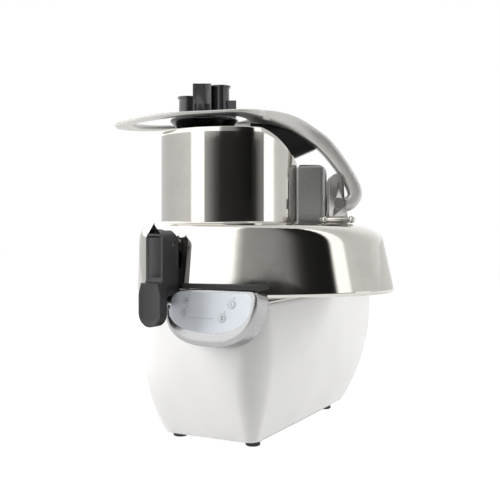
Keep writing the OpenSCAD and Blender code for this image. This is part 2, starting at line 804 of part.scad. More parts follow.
// Half width of the lever's plan at a distance u from the drive axis
function lever_half(u) =
    u <= loop_round_u ? loop_half
        * sqrt(max(0, 1 - pow((loop_round_u - u) / (loop_left + loop_round_u), 2))) :
    u <= loop_wide_end ? loop_half :
    u <= arm_start ? arm_half
        + (loop_half - arm_half) * (1 + cos(180 * (u - loop_wide_end) / (arm_start - loop_wide_end))) / 2 :
    arm_half;
plan_steps = 44;
function lever_plan() =
    let (us = concat(
        [for (i = [0 : 12]) -loop_left + (loop_left + loop_round_u) * (1 - cos(90 * i / 12))],
        [for (i = [1 : 20]) loop_round_u + (arm_start - loop_round_u) * i / 20],
        [pivot_u + 40]))
    concat(
        [for (u = us) [u, -lever_half(u)]],
        [for (u = reversed(us)) if (lever_half(u) > 0) [u, lever_half(u)]]
    );

// Side profile: top line and bottom line, as [u, z] points of a smooth bow
bow_top = [[15, 455.4], [46, 457], [60, 457.8], [72, 457.6], [86, 455.4], [99, 451], [125, 438], [143, 423],
    [160, 401], [177, 376], [187, 356]];
bow_end = [[189.5, 345], [186, 335], [177, 325]];
bow_low = [[164, 338], [168, 344], [167, 352], [160, 366], [143, 389], [126, 406], [108, 421], [86, 433],
    [60, 441.5], [30, 444.5]];
function loop_line(u, side) = loop_z + side * loop_t / 2 + (u + 20) * tan(loop_tilt);
function lever_profile() = concat(
    [[-loop_left - 1, loop_line(-loop_left, -1)], [-loop_left - 1, loop_line(-loop_left, 1)]],
    [[-60, loop_line(-60, 1)], [-20, loop_line(-20, 1)]],
    bow_top, bow_end,
    arc(pivot_u, pivot_z, 11, -60, -250, 12),
    bow_low,
    [[0, loop_line(0, -1)], [-60, loop_line(-60, -1)]]
);

module lever_arm() {
    color(steel) turned() difference() {
        intersection() {
            translate([0, 120, 0]) rotate([90, 0, 0]) linear_extrude(240) polygon(lever_profile());
            translate([0, 0, 280]) linear_extrude(220) polygon(lever_plan());
        }
        translate([0, 0, 400]) linear_extrude(100)
            polygon(oval(loop_open_left, loop_open_right, loop_open_half, 48));
        translate([pivot_u, 40, pivot_z]) rotate([90, 0, 0]) cylinder(d = pivot_d + 2 * pin_gap, h = 80);
        // clear of the feed tube's mouth
        translate([-tube_offset, 0, 400]) cylinder(r = mouth_r + 0.02, h = 100);
    }
}

mouth_r = 48.5;
mouth_z = 447;
throat_z = 433;
tube_r = tube_d / 2;
plate_bottom = 297;
press_t = 7;

// Feed tube with a flared mouth, and the two arms that hold it in the loop
module feed_tube() {
    color(black_plastic) turned() difference() {
        union() {
            translate([-tube_offset, 0, 0]) rotate_extrude() polygon([
                [tube_r - tube_wall, plate_bottom + press_t], [tube_r, plate_bottom + press_t],
                [tube_r, throat_z], [tube_r + 11, throat_z + 4], [mouth_r, mouth_z], [mouth_r, mouth_z + 3],
                [mouth_r - 3, mouth_z + 3], [tube_r + 9, throat_z + 7], [tube_r - tube_wall, throat_z + 4]
            ]);
            intersection() {
                for (side = [-1, 1])
                    translate([-tube_offset - 12, side * 53 - 9, loop_z - 3]) cube([24, 18, 5]);
                translate([0, 0, 400]) linear_extrude(100)
                    polygon(oval(loop_open_left - 0.02, loop_open_right - 0.02, loop_open_half - 0.02, 48));
            }
        }
        translate([-tube_offset, 0, plate_bottom]) cylinder(r = tube_r - tube_wall, h = 200);
        translate([-tube_offset, 0, throat_z + 7])
            cylinder(r1 = tube_r + 9, r2 = mouth_r - 3, h = mouth_z + 3 - throat_z - 7);
    }
}

press_gap = 4.5;
press_left = hopper_bore - press_gap;
press_right = 24;
press_half = 59;
module press_plate() {
    color(black_plastic) turned() translate([0, 0, plate_bottom]) difference() {
        intersection() {
            cylinder(r = press_left, h = press_t);
            translate([-press_left - 1, -press_half, 0])
                cube([press_left + press_right + 1, 2 * press_half, press_t]);
        }
        translate([-tube_offset, 0, -1]) cylinder(r = tube_r - tube_wall, h = press_t + 2);
    }
}

// Black web from the press plate up to the lever's arm, through the hopper's cut
web_half = 15;
web_left = 4;
web_post = 19;
module press_web() {
    color(black_plastic) turned() difference() {
        translate([0, web_half, 0]) rotate([90, 0, 0]) linear_extrude(2 * web_half) polygon([
            [web_left, plate_bottom + press_t], [web_left + web_post, plate_bottom + press_t],
            [web_left + web_post, 362], [60, 382], [97, 396], [126, 408.5], [129, 412],
            [108, 432], [86, 443], [60, 449], [30, 450], [30, 435], [14, 419], [web_left, 400]
        ]);
        translate([0, 120, 0]) rotate([90, 0, 0]) linear_extrude(240) polygon(lever_profile());
    }
}

// Pusher: a plunger in the feed tube under a grip of one tall block and three lobes
pusher_r = tube_r - tube_wall - pusher_gap;
grip_z = mouth_z + 6;
block_w = 26;
block_d = 34;
block_top = 498.6;
lobe_top = 498.7;
left_lobe_top = 483;
low_lobe_top = 477;
module pusher() {
    color(black_plastic) turned() translate([-tube_offset, 0, 0]) difference() {
        union() {
            translate([0, 0, plate_bottom + 2]) cylinder(r = pusher_r, h = grip_z - plate_bottom - 2);
            translate([0, 0, grip_z - 4]) cylinder(r = 40, h = 4);
            translate([-15, -block_d / 2 - 6, grip_z]) cube([block_w, block_d, block_top - grip_z]);
            translate([23, 2, grip_z]) cylinder(r = 13, h = lobe_top - 1 - grip_z);
            translate([23, 2, lobe_top - 2.5]) cylinder(r = 15, h = 2.5);
            translate([-24, 2, grip_z]) cylinder(r = 13, h = left_lobe_top - 1 - grip_z);
            translate([-24, 2, left_lobe_top - 2.5]) cylinder(r = 15, h = 2.5);
            translate([32, -8, grip_z]) cube([14, 16, low_lobe_top - grip_z]);
        }
        translate([0, 0, plate_bottom + 8]) cylinder(r = pusher_r - 3, h = grip_z - plate_bottom - 14);
        translate([23, 2, lobe_top - 18]) cylinder(r = 10.5, h = 30);
    }
}

// Latch at the lid's round end

latch_turn = 130.6;
latch_u = (lid_right - lid_left) / 2 + (lid_right + lid_left) / 2 * -pow(-cos(latch_turn), 2 / plan_power);
latch_v = -lid_half * pow(sin(latch_turn), 2 / plan_power);
latch_face = 236;
latch_pin_d = 6;
latch_pin_x = 14;
latch_pin_z = 274;
latch_top = 294;
latch_depth = 36;
grip_low = 169;
grip_half = 18;
grip_out = latch_depth + 10;
hook_t = 3;
hook_w = 10;
hook_z = deck_top - 0.4 - hook_t;
slot_gap = 0.4;
bracket_w = 12;

// The latch's own frame at the lid's wall: X outwards, Y along the wall
module at_latch() { turned() translate([latch_u, latch_v, 0]) rotate([0, 0, latch_face]) children(); }

module latch_bracket() {
    color(steel) difference() {
        at_latch() translate([0, bracket_w / 2, 0]) rotate([90, 0, 0]) linear_extrude(bracket_w)
            polygon(concat(
                [[-14, latch_pin_z - 10], [latch_pin_x, latch_pin_z - 7]],
                arc(latch_pin_x, latch_pin_z, 7, -60, 90, 8),
                [[-14, latch_pin_z + 7]]
            ));
        at_latch() translate([latch_pin_x, 20, latch_pin_z]) rotate([90, 0, 0])
            cylinder(d = latch_pin_d, h = 40);
        turned() lofted(lid_rings(0), lid_n);
    }
}

module latch_handle() {
    color(black_plastic) at_latch() difference() {
        union() {
            // upper block with a round top
            intersection() {
                translate([0, latch_w / 2, 0]) rotate([90, 0, 0]) linear_extrude(latch_w) polygon([
                    [4, 212], [4, latch_top - 14], [12, latch_top], [30, latch_top],
                    [latch_depth, latch_top - 6], [latch_depth, 228], [grip_out, 212], [grip_out, 196],
                    [grip_out - 14, 196], [grip_out - 16, 206]
                ]);
                translate([0, 0, 150]) rotate([90, 0, 90]) linear_extrude(60) polygon(concat(
                    arc(0, latch_top - 150 - latch_w / 2, latch_w / 2, 0, 180, 16),
                    [[-latch_w / 2, 0], [latch_w / 2, 0]]
                ));
            }
            // wide finger grip
            translate([grip_out - 14, 0, grip_low + grip_half]) rotate([90, 0, 90])
                linear_extrude(14) polygon(concat(
                    arc(0, 0, grip_half, 180, 360, 18),
                    [[grip_half, 24], [latch_w / 2, 38], [-latch_w / 2, 38], [-grip_half, 24]]
                ));
            // stem down to the hook
            translate([4.5, -hook_w / 2, hook_z + hook_t]) cube([9.5, hook_w, 216 - hook_z - hook_t]);
        }
        // slot for the bracket
        translate([-6, -bracket_w / 2 - slot_gap, latch_pin_z - 30])
            cube([30, bracket_w + 2 * slot_gap, 60]);
        translate([latch_pin_x, 30, latch_pin_z]) rotate([90, 0, 0])
            cylinder(d = latch_pin_d + 2 * pin_gap, h = 60);
    }
}

// Flat hook under the stem, which reaches below the catch
module latch_hook() {
    color(steel) at_latch() translate([-3, -hook_w / 2, hook_z]) cube([17, hook_w, hook_t]);
}

module latch_pin() {
    color(dark_steel) at_latch() translate([latch_pin_x, 13, latch_pin_z]) rotate([90, 0, 0])
        cylinder(d = latch_pin_d, h = 26);
}

// Tab of the deck that the latch hooks under
module latch_catch() {
    color(steel) difference() {
        at_latch() translate([-13, -9, deck_top]) cube([16, 18, 3.2]);
        placed() translate([0, 0, deck_top - 1]) cylinder(r = chamber_r + chamber_wall + lid_gap, h = 10);
    }
}

// The drive axis stands off the middle of the footprint, which is the origin
function turned_x(p) = p[0] * cos(top_yaw) - p[1] * sin(top_yaw);
function turned_y(p) = p[0] * sin(top_yaw) + p[1] * cos(top_yaw);
footprint_left = min([for (p = lever_plan()) turned_x(p)]);
footprint_right = max([for (p = lid_plan(0, 0)) turned_x(p)]);
footprint_front = turned_y([latch_u, latch_v])
    + min([for (t = [-1, 1])
        grip_out * sin(latch_face + top_yaw) + t * grip_half * cos(latch_face + top_yaw)]);
drive_x = -(footprint_left + footprint_right) / 2;
drive_y = -(footprint_front + base_rear) / 2;

motor_housing();
bottom_plate();
rubber_feet();
deck_plate();
deck_screws();
control_bezel();
control_face();
control_board();
console_seal();
stop_key();
start_key();
speed_one_key();
speed_two_key();
power_inlet();
motor_body();
motor_shaft();
motor_pulley();
motor_plate();
drive_belt();
drive_pulley();
drive_shaft();
bearing_housing();
upper_bearing();
lower_bearing();
shaft_seal();
ejector_disc();
cutting_disc();
disc_blades();
disc_knob();
chamber_ring();
discharge_guide();
latch_catch();
lid_shell();
hopper();
hinge_lugs();
hinge_brackets();
hinge_pin();
tower_housing();
lever_bracket();
lever_pin();
stop_rod();
lever_arm();
feed_tube();
press_plate();
press_web();
pusher();
latch_bracket();
latch_handle();
latch_hook();
latch_pin();
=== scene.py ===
import math

import bmesh
import bpy
import numpy as np
from mathutils import Matrix, Vector


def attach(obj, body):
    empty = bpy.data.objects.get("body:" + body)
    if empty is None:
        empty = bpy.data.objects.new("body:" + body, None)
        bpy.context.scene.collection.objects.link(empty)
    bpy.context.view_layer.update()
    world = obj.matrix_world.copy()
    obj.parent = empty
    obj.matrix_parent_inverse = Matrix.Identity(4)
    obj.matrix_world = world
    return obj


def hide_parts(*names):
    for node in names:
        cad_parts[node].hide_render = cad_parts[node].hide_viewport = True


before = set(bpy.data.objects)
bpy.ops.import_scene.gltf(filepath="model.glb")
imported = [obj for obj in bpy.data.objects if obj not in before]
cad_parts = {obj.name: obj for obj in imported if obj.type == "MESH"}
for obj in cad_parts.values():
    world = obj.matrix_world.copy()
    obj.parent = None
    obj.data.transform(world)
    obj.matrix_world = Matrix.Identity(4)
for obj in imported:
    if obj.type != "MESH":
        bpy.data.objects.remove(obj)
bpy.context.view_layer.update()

# Sizes are in millimetres about the drive axis; the axis itself and the stage are in metres
DRIVE = Vector((-0.034471, -0.0837481, 0.0))
YAW = math.radians(27.4)
MM = Matrix.Scale(0.001, 4)
# PLACED goes along the base and TURNED along the lid; PANEL has Z out of the panel's face and LATCH has
# X out from the lid at the latch
PLACED = Matrix.Translation(DRIVE) @ MM
TURNED = Matrix.Translation(DRIVE) @ Matrix.Rotation(YAW, 4, "Z") @ MM
PANEL = PLACED @ Matrix.Translation((42, -126, 217.5)) @ Matrix.Rotation(math.radians(80), 4, "X")
LATCH = TURNED @ Matrix.Translation((-72.9141, -97.0751, 0)) @ Matrix.Rotation(math.radians(236), 4, "Z")

# heights of the lid's rim, of its shoulder's foot and of its top; its rim's reach to the left, the right
# and each long side; the sheet
LID_RIM, LID_DRAFT, LID_TOP = 206.0, 278.0, 302.0
LID_LEFT, LID_RIGHT, LID_HALF = 131.0, 235.0, 124.0
LID_WALL = 2.5
# how far the left, the right and the long sides lean in up the wall, and curl in over the shoulder
LID_LEAN, LID_CURL = (3.0, 16.0, 7.0), (16.0, 52.7, 21.7)
# the lid is a little flatter than an oval about this azimuth: depth in mm, azimuth and spread in degrees
FLAT_DEPTH, FLAT_AT, FLAT_SPREAD = 3.2, -118, 34
# the round from the lid's top up to the hopper
FILLET = 2.2
# power of the ovals of the lid and the lever's opening, where 2 is an ellipse
PLAN_POWER = 2.25
HOPPER_R, HOPPER_WALL, HOPPER_BOTTOM, HOPPER_TOP = 97.0, 2.5, 272.0, 430.0
FOOT_H, BASE_TOP = 8.0, 197.0
BASE_HALF, BASE_FRONT, BASE_REAR = 100.0, 88.0, 335.0


# Materials

def linear(code):
    """An sRGB hex colour as linear values."""
    parts = [int(code[i:i + 2], 16) / 255 for i in (1, 3, 5)]
    return tuple(c / 12.92 if c <= 0.04045 else ((c + 0.055) / 1.055) ** 2.4 for c in parts) + (1.0,)


def fill(tree, made, **inputs):
    """Set a node's inputs, or link sockets to them: i0, i1 and so on by number, any other by its name."""
    for key, value in inputs.items():
        numbered = key[0] == "i" and key[1:].isdigit()
        socket = made.inputs[int(key[1:]) if numbered else key.replace("_", " ")]
        if isinstance(value, bpy.types.NodeSocket):
            tree.links.new(value, socket)
        else:
            socket.default_value = value


def node(tree, kind, settings=None, **inputs):
    """Add a shader node with its properties, or its ramp's stops, and its inputs."""
    made = tree.nodes.new(kind)
    for key, value in (settings or {}).items():
        if key != "stops":
            setattr(made, key, value)
            continue
        elements = made.color_ramp.elements
        for i, (place, colour) in enumerate(value):
            element = elements[i] if i < 2 else elements.new(place)
            element.position, element.color = place, colour
    fill(tree, made, **inputs)
    return made


def grey(value):
    """A linear grey."""
    return (value, value, value, 1.0)


def material(name, **sockets):
    """A material with its Principled shader, and Object coordinates for its patterns."""
    made = bpy.data.materials.new(name)
    made.use_nodes = True
    tree = made.node_tree
    shader = tree.nodes["Principled BSDF"]
    fill(tree, shader, **sockets)
    place = node(tree, "ShaderNodeTexCoord").outputs["Object"]
    return made, tree, shader, place


def dress(tree, shader, colour, rough, relief):
    """Let patterns drive the shader. Colour is (pattern, its range, two colours), rough is (pattern, its
    range, least roughness, how much more) and relief is (pattern, strength, depth in metres)."""
    pattern, span, colours = colour
    tint = node(tree, "ShaderNodeValToRGB", {"stops": [(at, linear(c)) for at, c in zip(span, colours)]},
                Fac=pattern)
    pattern, span, least, more = rough
    shine = node(tree, "ShaderNodeMapRange", Value=pattern, From_Min=span[0], From_Max=span[1],
                 To_Min=least, To_Max=least + more)
    pattern, strength, depth = relief
    bumps = node(tree, "ShaderNodeBump", Height=pattern, Strength=strength, Distance=depth)
    fill(tree, shader, Base_Color=tint.outputs["Color"], Roughness=shine.outputs["Result"],
         Normal=bumps.outputs["Normal"])


def polished_stainless(name, colours, roughness, haze):
    """Stainless steel sheet, mirror polished: sharp reflections, a faint haze left by the polishing mop."""
    made, tree, shader, place = material(name, Metallic=1.0)
    # mop marks are a few centimetres across, the sheet's waviness after drawing is about 60 mm long
    mop = node(tree, "ShaderNodeTexNoise", Vector=place, Scale=38.0, Detail=4.0, Roughness=0.6).outputs["Fac"]
    wave = node(tree, "ShaderNodeTexNoise", Vector=place, Scale=9.0, Detail=1.0).outputs["Fac"]
    dress(tree, shader, (mop, (0.3, 0.75), colours), (mop, (0.3, 0.75), roughness, haze),
          (wave, 0.12, 0.0006))
    return made


def turned_stainless(name, colours, roughness, spacing):
    """Stainless steel with a fine machined grain: streaks across the turning direction."""
    made, tree, shader, place = material(name, Metallic=1.0)
    stretch = node(tree, "ShaderNodeMapping", Vector=place,
                   Scale=(0.02 / spacing, 0.02 / spacing, 1 / spacing)).outputs["Vector"]
    grain = node(tree, "ShaderNodeTexNoise", Vector=stretch, Scale=1.0, Detail=3.0).outputs["Fac"]
    dress(tree, shader, (grain, (0.25, 0.75), colours), (grain, (0.3, 0.7), roughness, 0.12),
          (grain, 0.15, 0.0001))
    return made


def moulded(name, colours, roughness, spark, scale, strength, **sockets):
    """Injection-moulded plastic or rubber: an even colour with a fine spark-eroded grain."""
    made, tree, shader, place = material(name, IOR=1.5, **sockets)
    # the grain is drawn a little coarser than the real 0.1 mm, so that it shows
    fine = node(tree, "ShaderNodeTexNoise", Vector=place, Scale=scale, Detail=3.0,
                Roughness=0.65).outputs["Fac"]
    broad = node(tree, "ShaderNodeTexNoise", Vector=place, Scale=14.0, Detail=2.0).outputs["Fac"]
    dress(tree, shader, (broad, (0.35, 0.65), colours), (fine, (0.3, 0.7), roughness, spark),
          (fine, strength, 0.0002))
    return made


def cast_aluminium(name, colours, roughness, metallic):
    """Cast aluminium under a satin coat: soft metallic sheen with a faint orange peel."""
    made, tree, shader, place = material(name, Metallic=metallic)
    # dimples of the coat about 1.6 mm across, and its metal flake about 1 mm
    peel = node(tree, "ShaderNodeTexVoronoi", {"feature": "SMOOTH_F1"}, Vector=place, Scale=620.0,
                Smoothness=0.8).outputs["Distance"]
    flake = node(tree, "ShaderNodeTexNoise", Vector=place, Scale=900.0, Detail=2.0).outputs["Fac"]
    dress(tree, shader, (flake, (0.35, 0.65), colours), (flake, (0.3, 0.7), roughness, 0.1),
          (peel, 0.04, 0.0002))
    return made


mirror_steel = polished_stainless("mirror_polished_stainless", ("#cfccc6", "#c6c3bd"), 0.035, 0.05)
lever_steel = cast_aluminium("satin_polished_lever_casting", ("#d2d0cc", "#cac8c4"), 0.34, 0.55)
deck_steel = turned_stainless("satin_deck_steel", ("#c2c0bc", "#b0aeaa"), 0.22, 0.0009)
tool_steel = turned_stainless("ground_disc_steel", ("#c6c5c2", "#acaaa7"), 0.2, 0.0007)
pin_steel = turned_stainless("turned_pin_steel", ("#9a9997", "#7d7c7a"), 0.25, 0.0008)
white_abs = moulded("gloss_white_abs", ("#f1f0ee", "#edecea"), 0.2, 0.06, 2400.0, 0.04,
                    Coat_Weight=0.35, Coat_Roughness=0.08)
disc_acetal = moulded("white_acetal", ("#ebebe8", "#e2e2de"), 0.35, 0.1, 1800.0, 0.08)
black_nylon = moulded("black_moulded_nylon", ("#1b1b1d", "#232326"), 0.36, 0.14, 1900.0, 0.18)
black_gloss = moulded("black_polished_plastic", ("#141416", "#1a1a1c"), 0.18, 0.08, 1500.0, 0.05)
foot_rubber = moulded("foot_rubber", ("#26272a", "#303134"), 0.6, 0.15, 1400.0, 0.25)
seal_rubber = moulded("black_seal_rubber", ("#141415", "#1c1c1e"), 0.5, 0.15, 1400.0, 0.2)
board_laminate = moulded("green_board_laminate", ("#1d5a35", "#174a2b"), 0.35, 0.15, 1200.0, 0.1)
silver_coat = cast_aluminium("silver_coated_aluminium", ("#adadae", "#a2a2a3"), 0.22, 1.0)
tower_coat = cast_aluminium("grey_coated_casting", ("#a6a6a5", "#999998"), 0.26, 0.7)
cheek_steel = polished_stainless("polished_bracket_steel", ("#d9d7d3", "#cfccc8"), 0.16, 0.06)
pusher_finish = moulded("grey_black_polished_plastic", ("#333236", "#3b3a3e"), 0.16, 0.06, 1500.0, 0.05,
                       Coat_Weight=0.6, Coat_Roughness=0.06)
print_ink = moulded("grey_screen_print", ("#1d1f23", "#26282c"), 0.5, 0.1, 3000.0, 0.05)
rough_casting = cast_aluminium("rough_aluminium_casting", ("#a3a4a4", "#8d8e8f"), 0.45, 0.9)
keypad_film = moulded("pale_keypad_film", ("#e3e8ef", "#dee3ea"), 0.4, 0.06, 1500.0, 0.03)
key_film = moulded("domed_key_film", ("#e5eaf0", "#e1e6ec"), 0.4, 0.06, 1500.0, 0.03)


# Building helpers

def new_object(name, bm, finish):
    """An object of the mesh in the scene, with its material."""
    mesh = bpy.data.meshes.new(name)
    bm.to_mesh(mesh)
    bm.free()
    mesh.materials.append(finish)
    made = bpy.data.objects.new(name, mesh)
    bpy.context.collection.objects.link(made)
    return made


def piece(name, bm, place, body, finish, slot, stands_for=(), smooth=30.0, modifiers=()):
    """Make an object of the mesh, placed in the frame, riding on its body."""
    bmesh.ops.transform(bm, matrix=place, verts=bm.verts)
    made = new_object(name, bm, finish)
    for face in made.data.polygons:
        face.use_smooth = True
    made.data.set_sharp_from_angle(angle=math.radians(smooth))
    for kind, settings in modifiers:
        modifier = made.modifiers.new(kind.title(), kind)
        for key, value in settings.items():
            setattr(modifier, key, value)
    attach(made, body)
    if stands_for:
        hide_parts(*stands_for)


def cad_copy(cad_node, place):
    """A CAD piece's mesh in millimetres in its own place, its triangles merged back into flat faces."""
    bm = bmesh.new()
    bm.from_mesh(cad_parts[cad_node].data)
    bmesh.ops.transform(bm, matrix=place.inverted(), verts=bm.verts)
    bmesh.ops.remove_doubles(bm, verts=bm.verts, dist=1e-3)
    bmesh.ops.dissolve_limit(bm, angle_limit=math.radians(0.6), verts=bm.verts, edges=bm.edges)
    return bm


def sharp_edges(bm, degrees=38.0):
    return [e for e in bm.edges if len(e.link_faces) == 2
            and e.calc_face_angle() > math.radians(degrees) and e.calc_length() > 0.01]


def rounded(bm, edges, width, segments):
    """Round edges over."""
    bmesh.ops.bevel(bm, geom=edges, offset=width, offset_type="OFFSET", affect="EDGES", segments=segments,
                    profile=0.5, material=-1, clamp_overlap=True)


def softened(name, cad_node, body, finish, slot, width, segments=3):
    """A copy of a CAD piece with its sharp edges broken by a small round."""
    bm = cad_copy(cad_node, PLACED)
    rounded(bm, sharp_edges(bm), width, segments)
    piece(name, bm, PLACED, body, finish, slot, (cad_node,), smooth=32.0)


def next_ring(bm, ring, edges):
    """Extrude a row of edges; each new vertex keeps the label of the one it comes from."""
    labels = {tuple(v.co): label for v, label in ring.items()}
    grown = bmesh.ops.extrude_edge_only(bm, edges=edges)["geom"]
    fresh = {g: labels[tuple(g.co)] for g in grown if isinstance(g, bmesh.types.BMVert)}
    return fresh, [g for g in grown if isinstance(g, bmesh.types.BMEdge) and set(g.verts) <= set(fresh)]


def rings(bm, segments, count, place):
    """Skin a form level by level; place(level, angle) gives each vertex its point."""
    made = bmesh.ops.create_circle(bm, cap_ends=False, segments=segments, radius=1.0)["verts"]
    ring = {v: math.atan2(v.co.y, v.co.x) for v in made}
    edges = list({e for v in made for e in v.link_edges})
    for level in range(count):
        if level:
            ring, edges = next_ring(bm, ring, edges)
        for v, angle in ring.items():
            v.co = place(level, angle)


def outwards(bm):
    """Merge what touches and point every face outwards."""
    bmesh.ops.remove_doubles(bm, verts=bm.verts, dist=1e-4)
    bmesh.ops.recalc_face_normals(bm, faces=bm.faces)


def spun(bm, profile, steps):
    """Turn a profile of [radius, height] points about the Z axis."""
    verts = [bm.verts.new((r, 0.0, z)) for r, z in profile]
    edges = [bm.edges.new(pair) for pair in zip(verts, verts[1:])]
    bmesh.ops.spin(bm, geom=verts + edges, cent=(0, 0, 0), axis=(0, 0, 1), angle=2 * math.pi, steps=steps,
                   use_merge=True)
    outwards(bm)


def curve_points(points, steps):
    """Smooth line through the points, as a Catmull-Rom spline."""
    rows = [np.array(p, float) for p in points]
    rows = [2 * rows[0] - rows[1]] + rows + [2 * rows[-1] - rows[-2]]
    out = []
    for a, b, c, d in zip(rows, rows[1:], rows[2:], rows[3:]):
        for i in range(steps):
            t = i / steps
            out.append(0.5 * (2 * b + (c - a) * t + (2 * a - 5 * b + 4 * c - d) * t * t
                              + (3 * b - a - 3 * c + d) * t ** 3))
    return np.array(out + [rows[-2]])


def arc_line(x, y, r, start, end, n):
    """Points of an arc in n steps, from one angle to another in degrees."""
    angles = [math.radians(start + (end - start) * i / n) for i in range(n + 1)]
    return [(x + r * math.cos(a), y + r * math.sin(a)) for a in angles]


# Motor base

# how far the walls draw in at the floor, and how far the front bows out in plan
SIDE_RAKE, REAR_RAKE, FRONT_RAKE, FRONT_BOW = 28, 72, 40.5, 15


def drawn_in(t, rake):
    """How far a wall draws in at the height fraction t."""
    return rake * (1 - t) ** 2.6


def base_front(x, t):
    """The front wall's distance from the drive axis: the bowed plan, met softly by the raked lower wall."""
    plan = BASE_FRONT + FRONT_BOW * (1 - (x / BASE_HALF) ** 2)
    raked = BASE_FRONT + FRONT_BOW - drawn_in(t, FRONT_RAKE)
    soft = 5.0
    least = min(plan, raked)
    return least - soft * math.log(math.exp((least - plan) / soft) + math.exp((least - raked) / soft))


def motor_base():
    """Moulded housing: a tall tub whose walls curve in towards the floor, with soft corners."""
    bm = bmesh.new()
    side_n, arc_n, levels = 14, 10, 44
    count = 4 * (side_n + arc_n)

    def outline(t):
        half, rear = BASE_HALF - drawn_in(t, SIDE_RAKE), BASE_REAR - drawn_in(t, REAR_RAKE)
        # radii of the corners, which change with the height
        back, left, right = 9 + 7 * t, 12 + 6 * t, 14 + 22 * math.sin(math.pi * t)
        front = -base_front(half - 5, t)
        corners = [(half - back, rear - back, back), (-half + back, rear - back, back),
                   (-half + left, front + left, left), (half - right, front + right, right)]
        points = []
        for i, (cx, cy, r) in enumerate(corners):
            for j in range(arc_n + 1):
                a = math.radians(90 * (i + j / arc_n))
                points.append((cx + r * math.cos(a), cy + r * math.sin(a)))
            # a straight wall to the next corner
            nx, ny, nr = corners[(i + 1) % 4]
            x0, y0 = points[-1]
            x1, y1 = nx + nr * math.cos(a), ny + nr * math.sin(a)
            points += [(x0 + (x1 - x0) * j / side_n, y0 + (y1 - y0) * j / side_n) for j in range(1, side_n)]
        bowed = []
        for x, y in points:
            corner = left if x < 0 else right
            share = min(1.0, max(0.0, (front + corner - y) / corner))
            bowed.append((x, y - share * (base_front(x, t) + front)))
        return bowed

    # levels as (height, inset), with small rounds at the bottom and the top
    heights = [(FOOT_H, 5.0), (FOOT_H, 1.6), (FOOT_H + 0.5, 0.5)]
    heights += [(FOOT_H + 1.6 + (BASE_TOP - FOOT_H - 3.6) * i / levels, 0.0) for i in range(levels + 1)]
    heights += [(BASE_TOP - 0.6, 0.6), (BASE_TOP, 2.0), (BASE_TOP, 6.0)]
    outlines = [outline(min(1.0, max(0.0, (z - FOOT_H) / (BASE_TOP - FOOT_H)))) for z, _ in heights]
    middle = (BASE_REAR - BASE_FRONT) / 2

    def place(level, angle):
        z, inset = heights[level]
        x, y = outlines[level][round(angle % (2 * math.pi) / (2 * math.pi) * count) % count]
        pull = 1 - inset / max(math.hypot(x, y - middle), 1)
        return x * pull, middle + (y - middle) * pull, z

    rings(bm, count, len(heights), place)
    floor_edges = [e for e in bm.edges if len(e.link_faces) == 1 and e.verts[0].co.z < FOOT_H + 1]
    bmesh.ops.contextual_create(bm, geom=floor_edges)
    outwards(bm)
    piece("motor_base_moulding", bm, PLACED, "base", white_abs, "moulded_white", ("motor_housing",))


# Lid

def lid_ring(k):
    """Left, right, half depth and height of the lid's outline: k is 0 at the rim, 1 where the shoulder
    starts and 2 at the flat top."""
    a = max(0.0, k - 1) * math.pi / 2
    wall = LID_DRAFT - LID_RIM
    # the wall's lean runs on into the shoulder
    lean = min(k, 1) + math.sin(a) * (LID_TOP - LID_DRAFT) / wall
    curl = 1 - math.cos(a)
    left, right, half = (full - leans * lean - curls * share for full, leans, curls, share in zip(
        (LID_LEFT, LID_RIGHT, LID_HALF), LID_LEAN, LID_CURL, (curl, curl, curl ** 2.5)))
    return left, right, half, LID_RIM + wall * lean


def oval_radius(left, right, half, angle):
    """Distance from the drive axis to an oval in the direction of the angle."""
    centre, a = (right - left) / 2, (right + left) / 2
    low, high = 0.0, right + left
    for _ in range(34):
        r = (low + high) / 2
        inside = (abs((r * math.cos(angle) - centre) / a) ** PLAN_POWER
                  + abs(r * math.sin(angle) / half) ** PLAN_POWER) < 1
        low, high = (r, high) if inside else (low, r)
    return low


def lid_profile(angle):
    """Radius and height up the lid's wall and over its shoulder, to the foot of the hopper."""
    wall_n, shoulder_n, profile_n, fillet_n = 8, 22, 34, 4
    levels = [i / wall_n for i in range(wall_n + 1)] + [1 + i / shoulder_n for i in range(1, shoulder_n + 1)]
    flat = FLAT_DEPTH * math.exp(-((math.degrees(angle) - FLAT_AT) / FLAT_SPREAD) ** 2)
    foot = HOPPER_R + FILLET
    points = []
    for k in levels:
        left, right, half, z = lid_ring(k)
        r = oval_radius(left, right, half, angle) - flat * min(k, 1.3)
        if r <= foot:
            before = points[-1]
            f = (before[0] - foot) / max(before[0] - r, 1e-6)
            points.append((foot, before[1] + (z - before[1]) * f))
            break
        points.append((r, z))
    else:
        points.append((foot, LID_TOP))
    top = points[-1][1]
    lengths = np.concatenate([[0], np.cumsum([math.dist(p, q) for p, q in zip(points, points[1:])])])
    wanted = np.linspace(0, lengths[-1], profile_n)
    out = list(zip(np.interp(wanted, lengths, [p[0] for p in points]),
                   np.interp(wanted, lengths, [p[1] for p in points])))
    for i in range(1, fillet_n + 1):
        a = math.radians(90 * i / fillet_n)
        out.append((foot - FILLET * math.sin(a), top + FILLET * (1 - math.cos(a))))
    return out


def lid():
    """Drawn stainless lid: an oval dome, raised in a small fillet at the hopper's foot."""
    bm = bmesh.new()
    profiles = {}

    def place(level, angle):
        key = round(angle, 5)
        if key not in profiles:
            profiles[key] = lid_profile(angle)
        r, z = profiles[key][level]
        return r * math.cos(angle), r * math.sin(angle), z

    rings(bm, 240, len(lid_profile(0.0)), place)
    outwards(bm)
    piece("lid_dome", bm, TURNED, "lid", mirror_steel, "polished_steel", ("lid_shell",),
          modifiers=[("SOLIDIFY", {"thickness": LID_WALL / 1000, "offset": -1.0})], smooth=40.0)


# where the cut of the hopper's mouth starts towards the pivot, its slope there and its curve
CUT_START, CUT_SLOPE, CUT_CURVE = 44.0, 0.2845, 0.0103
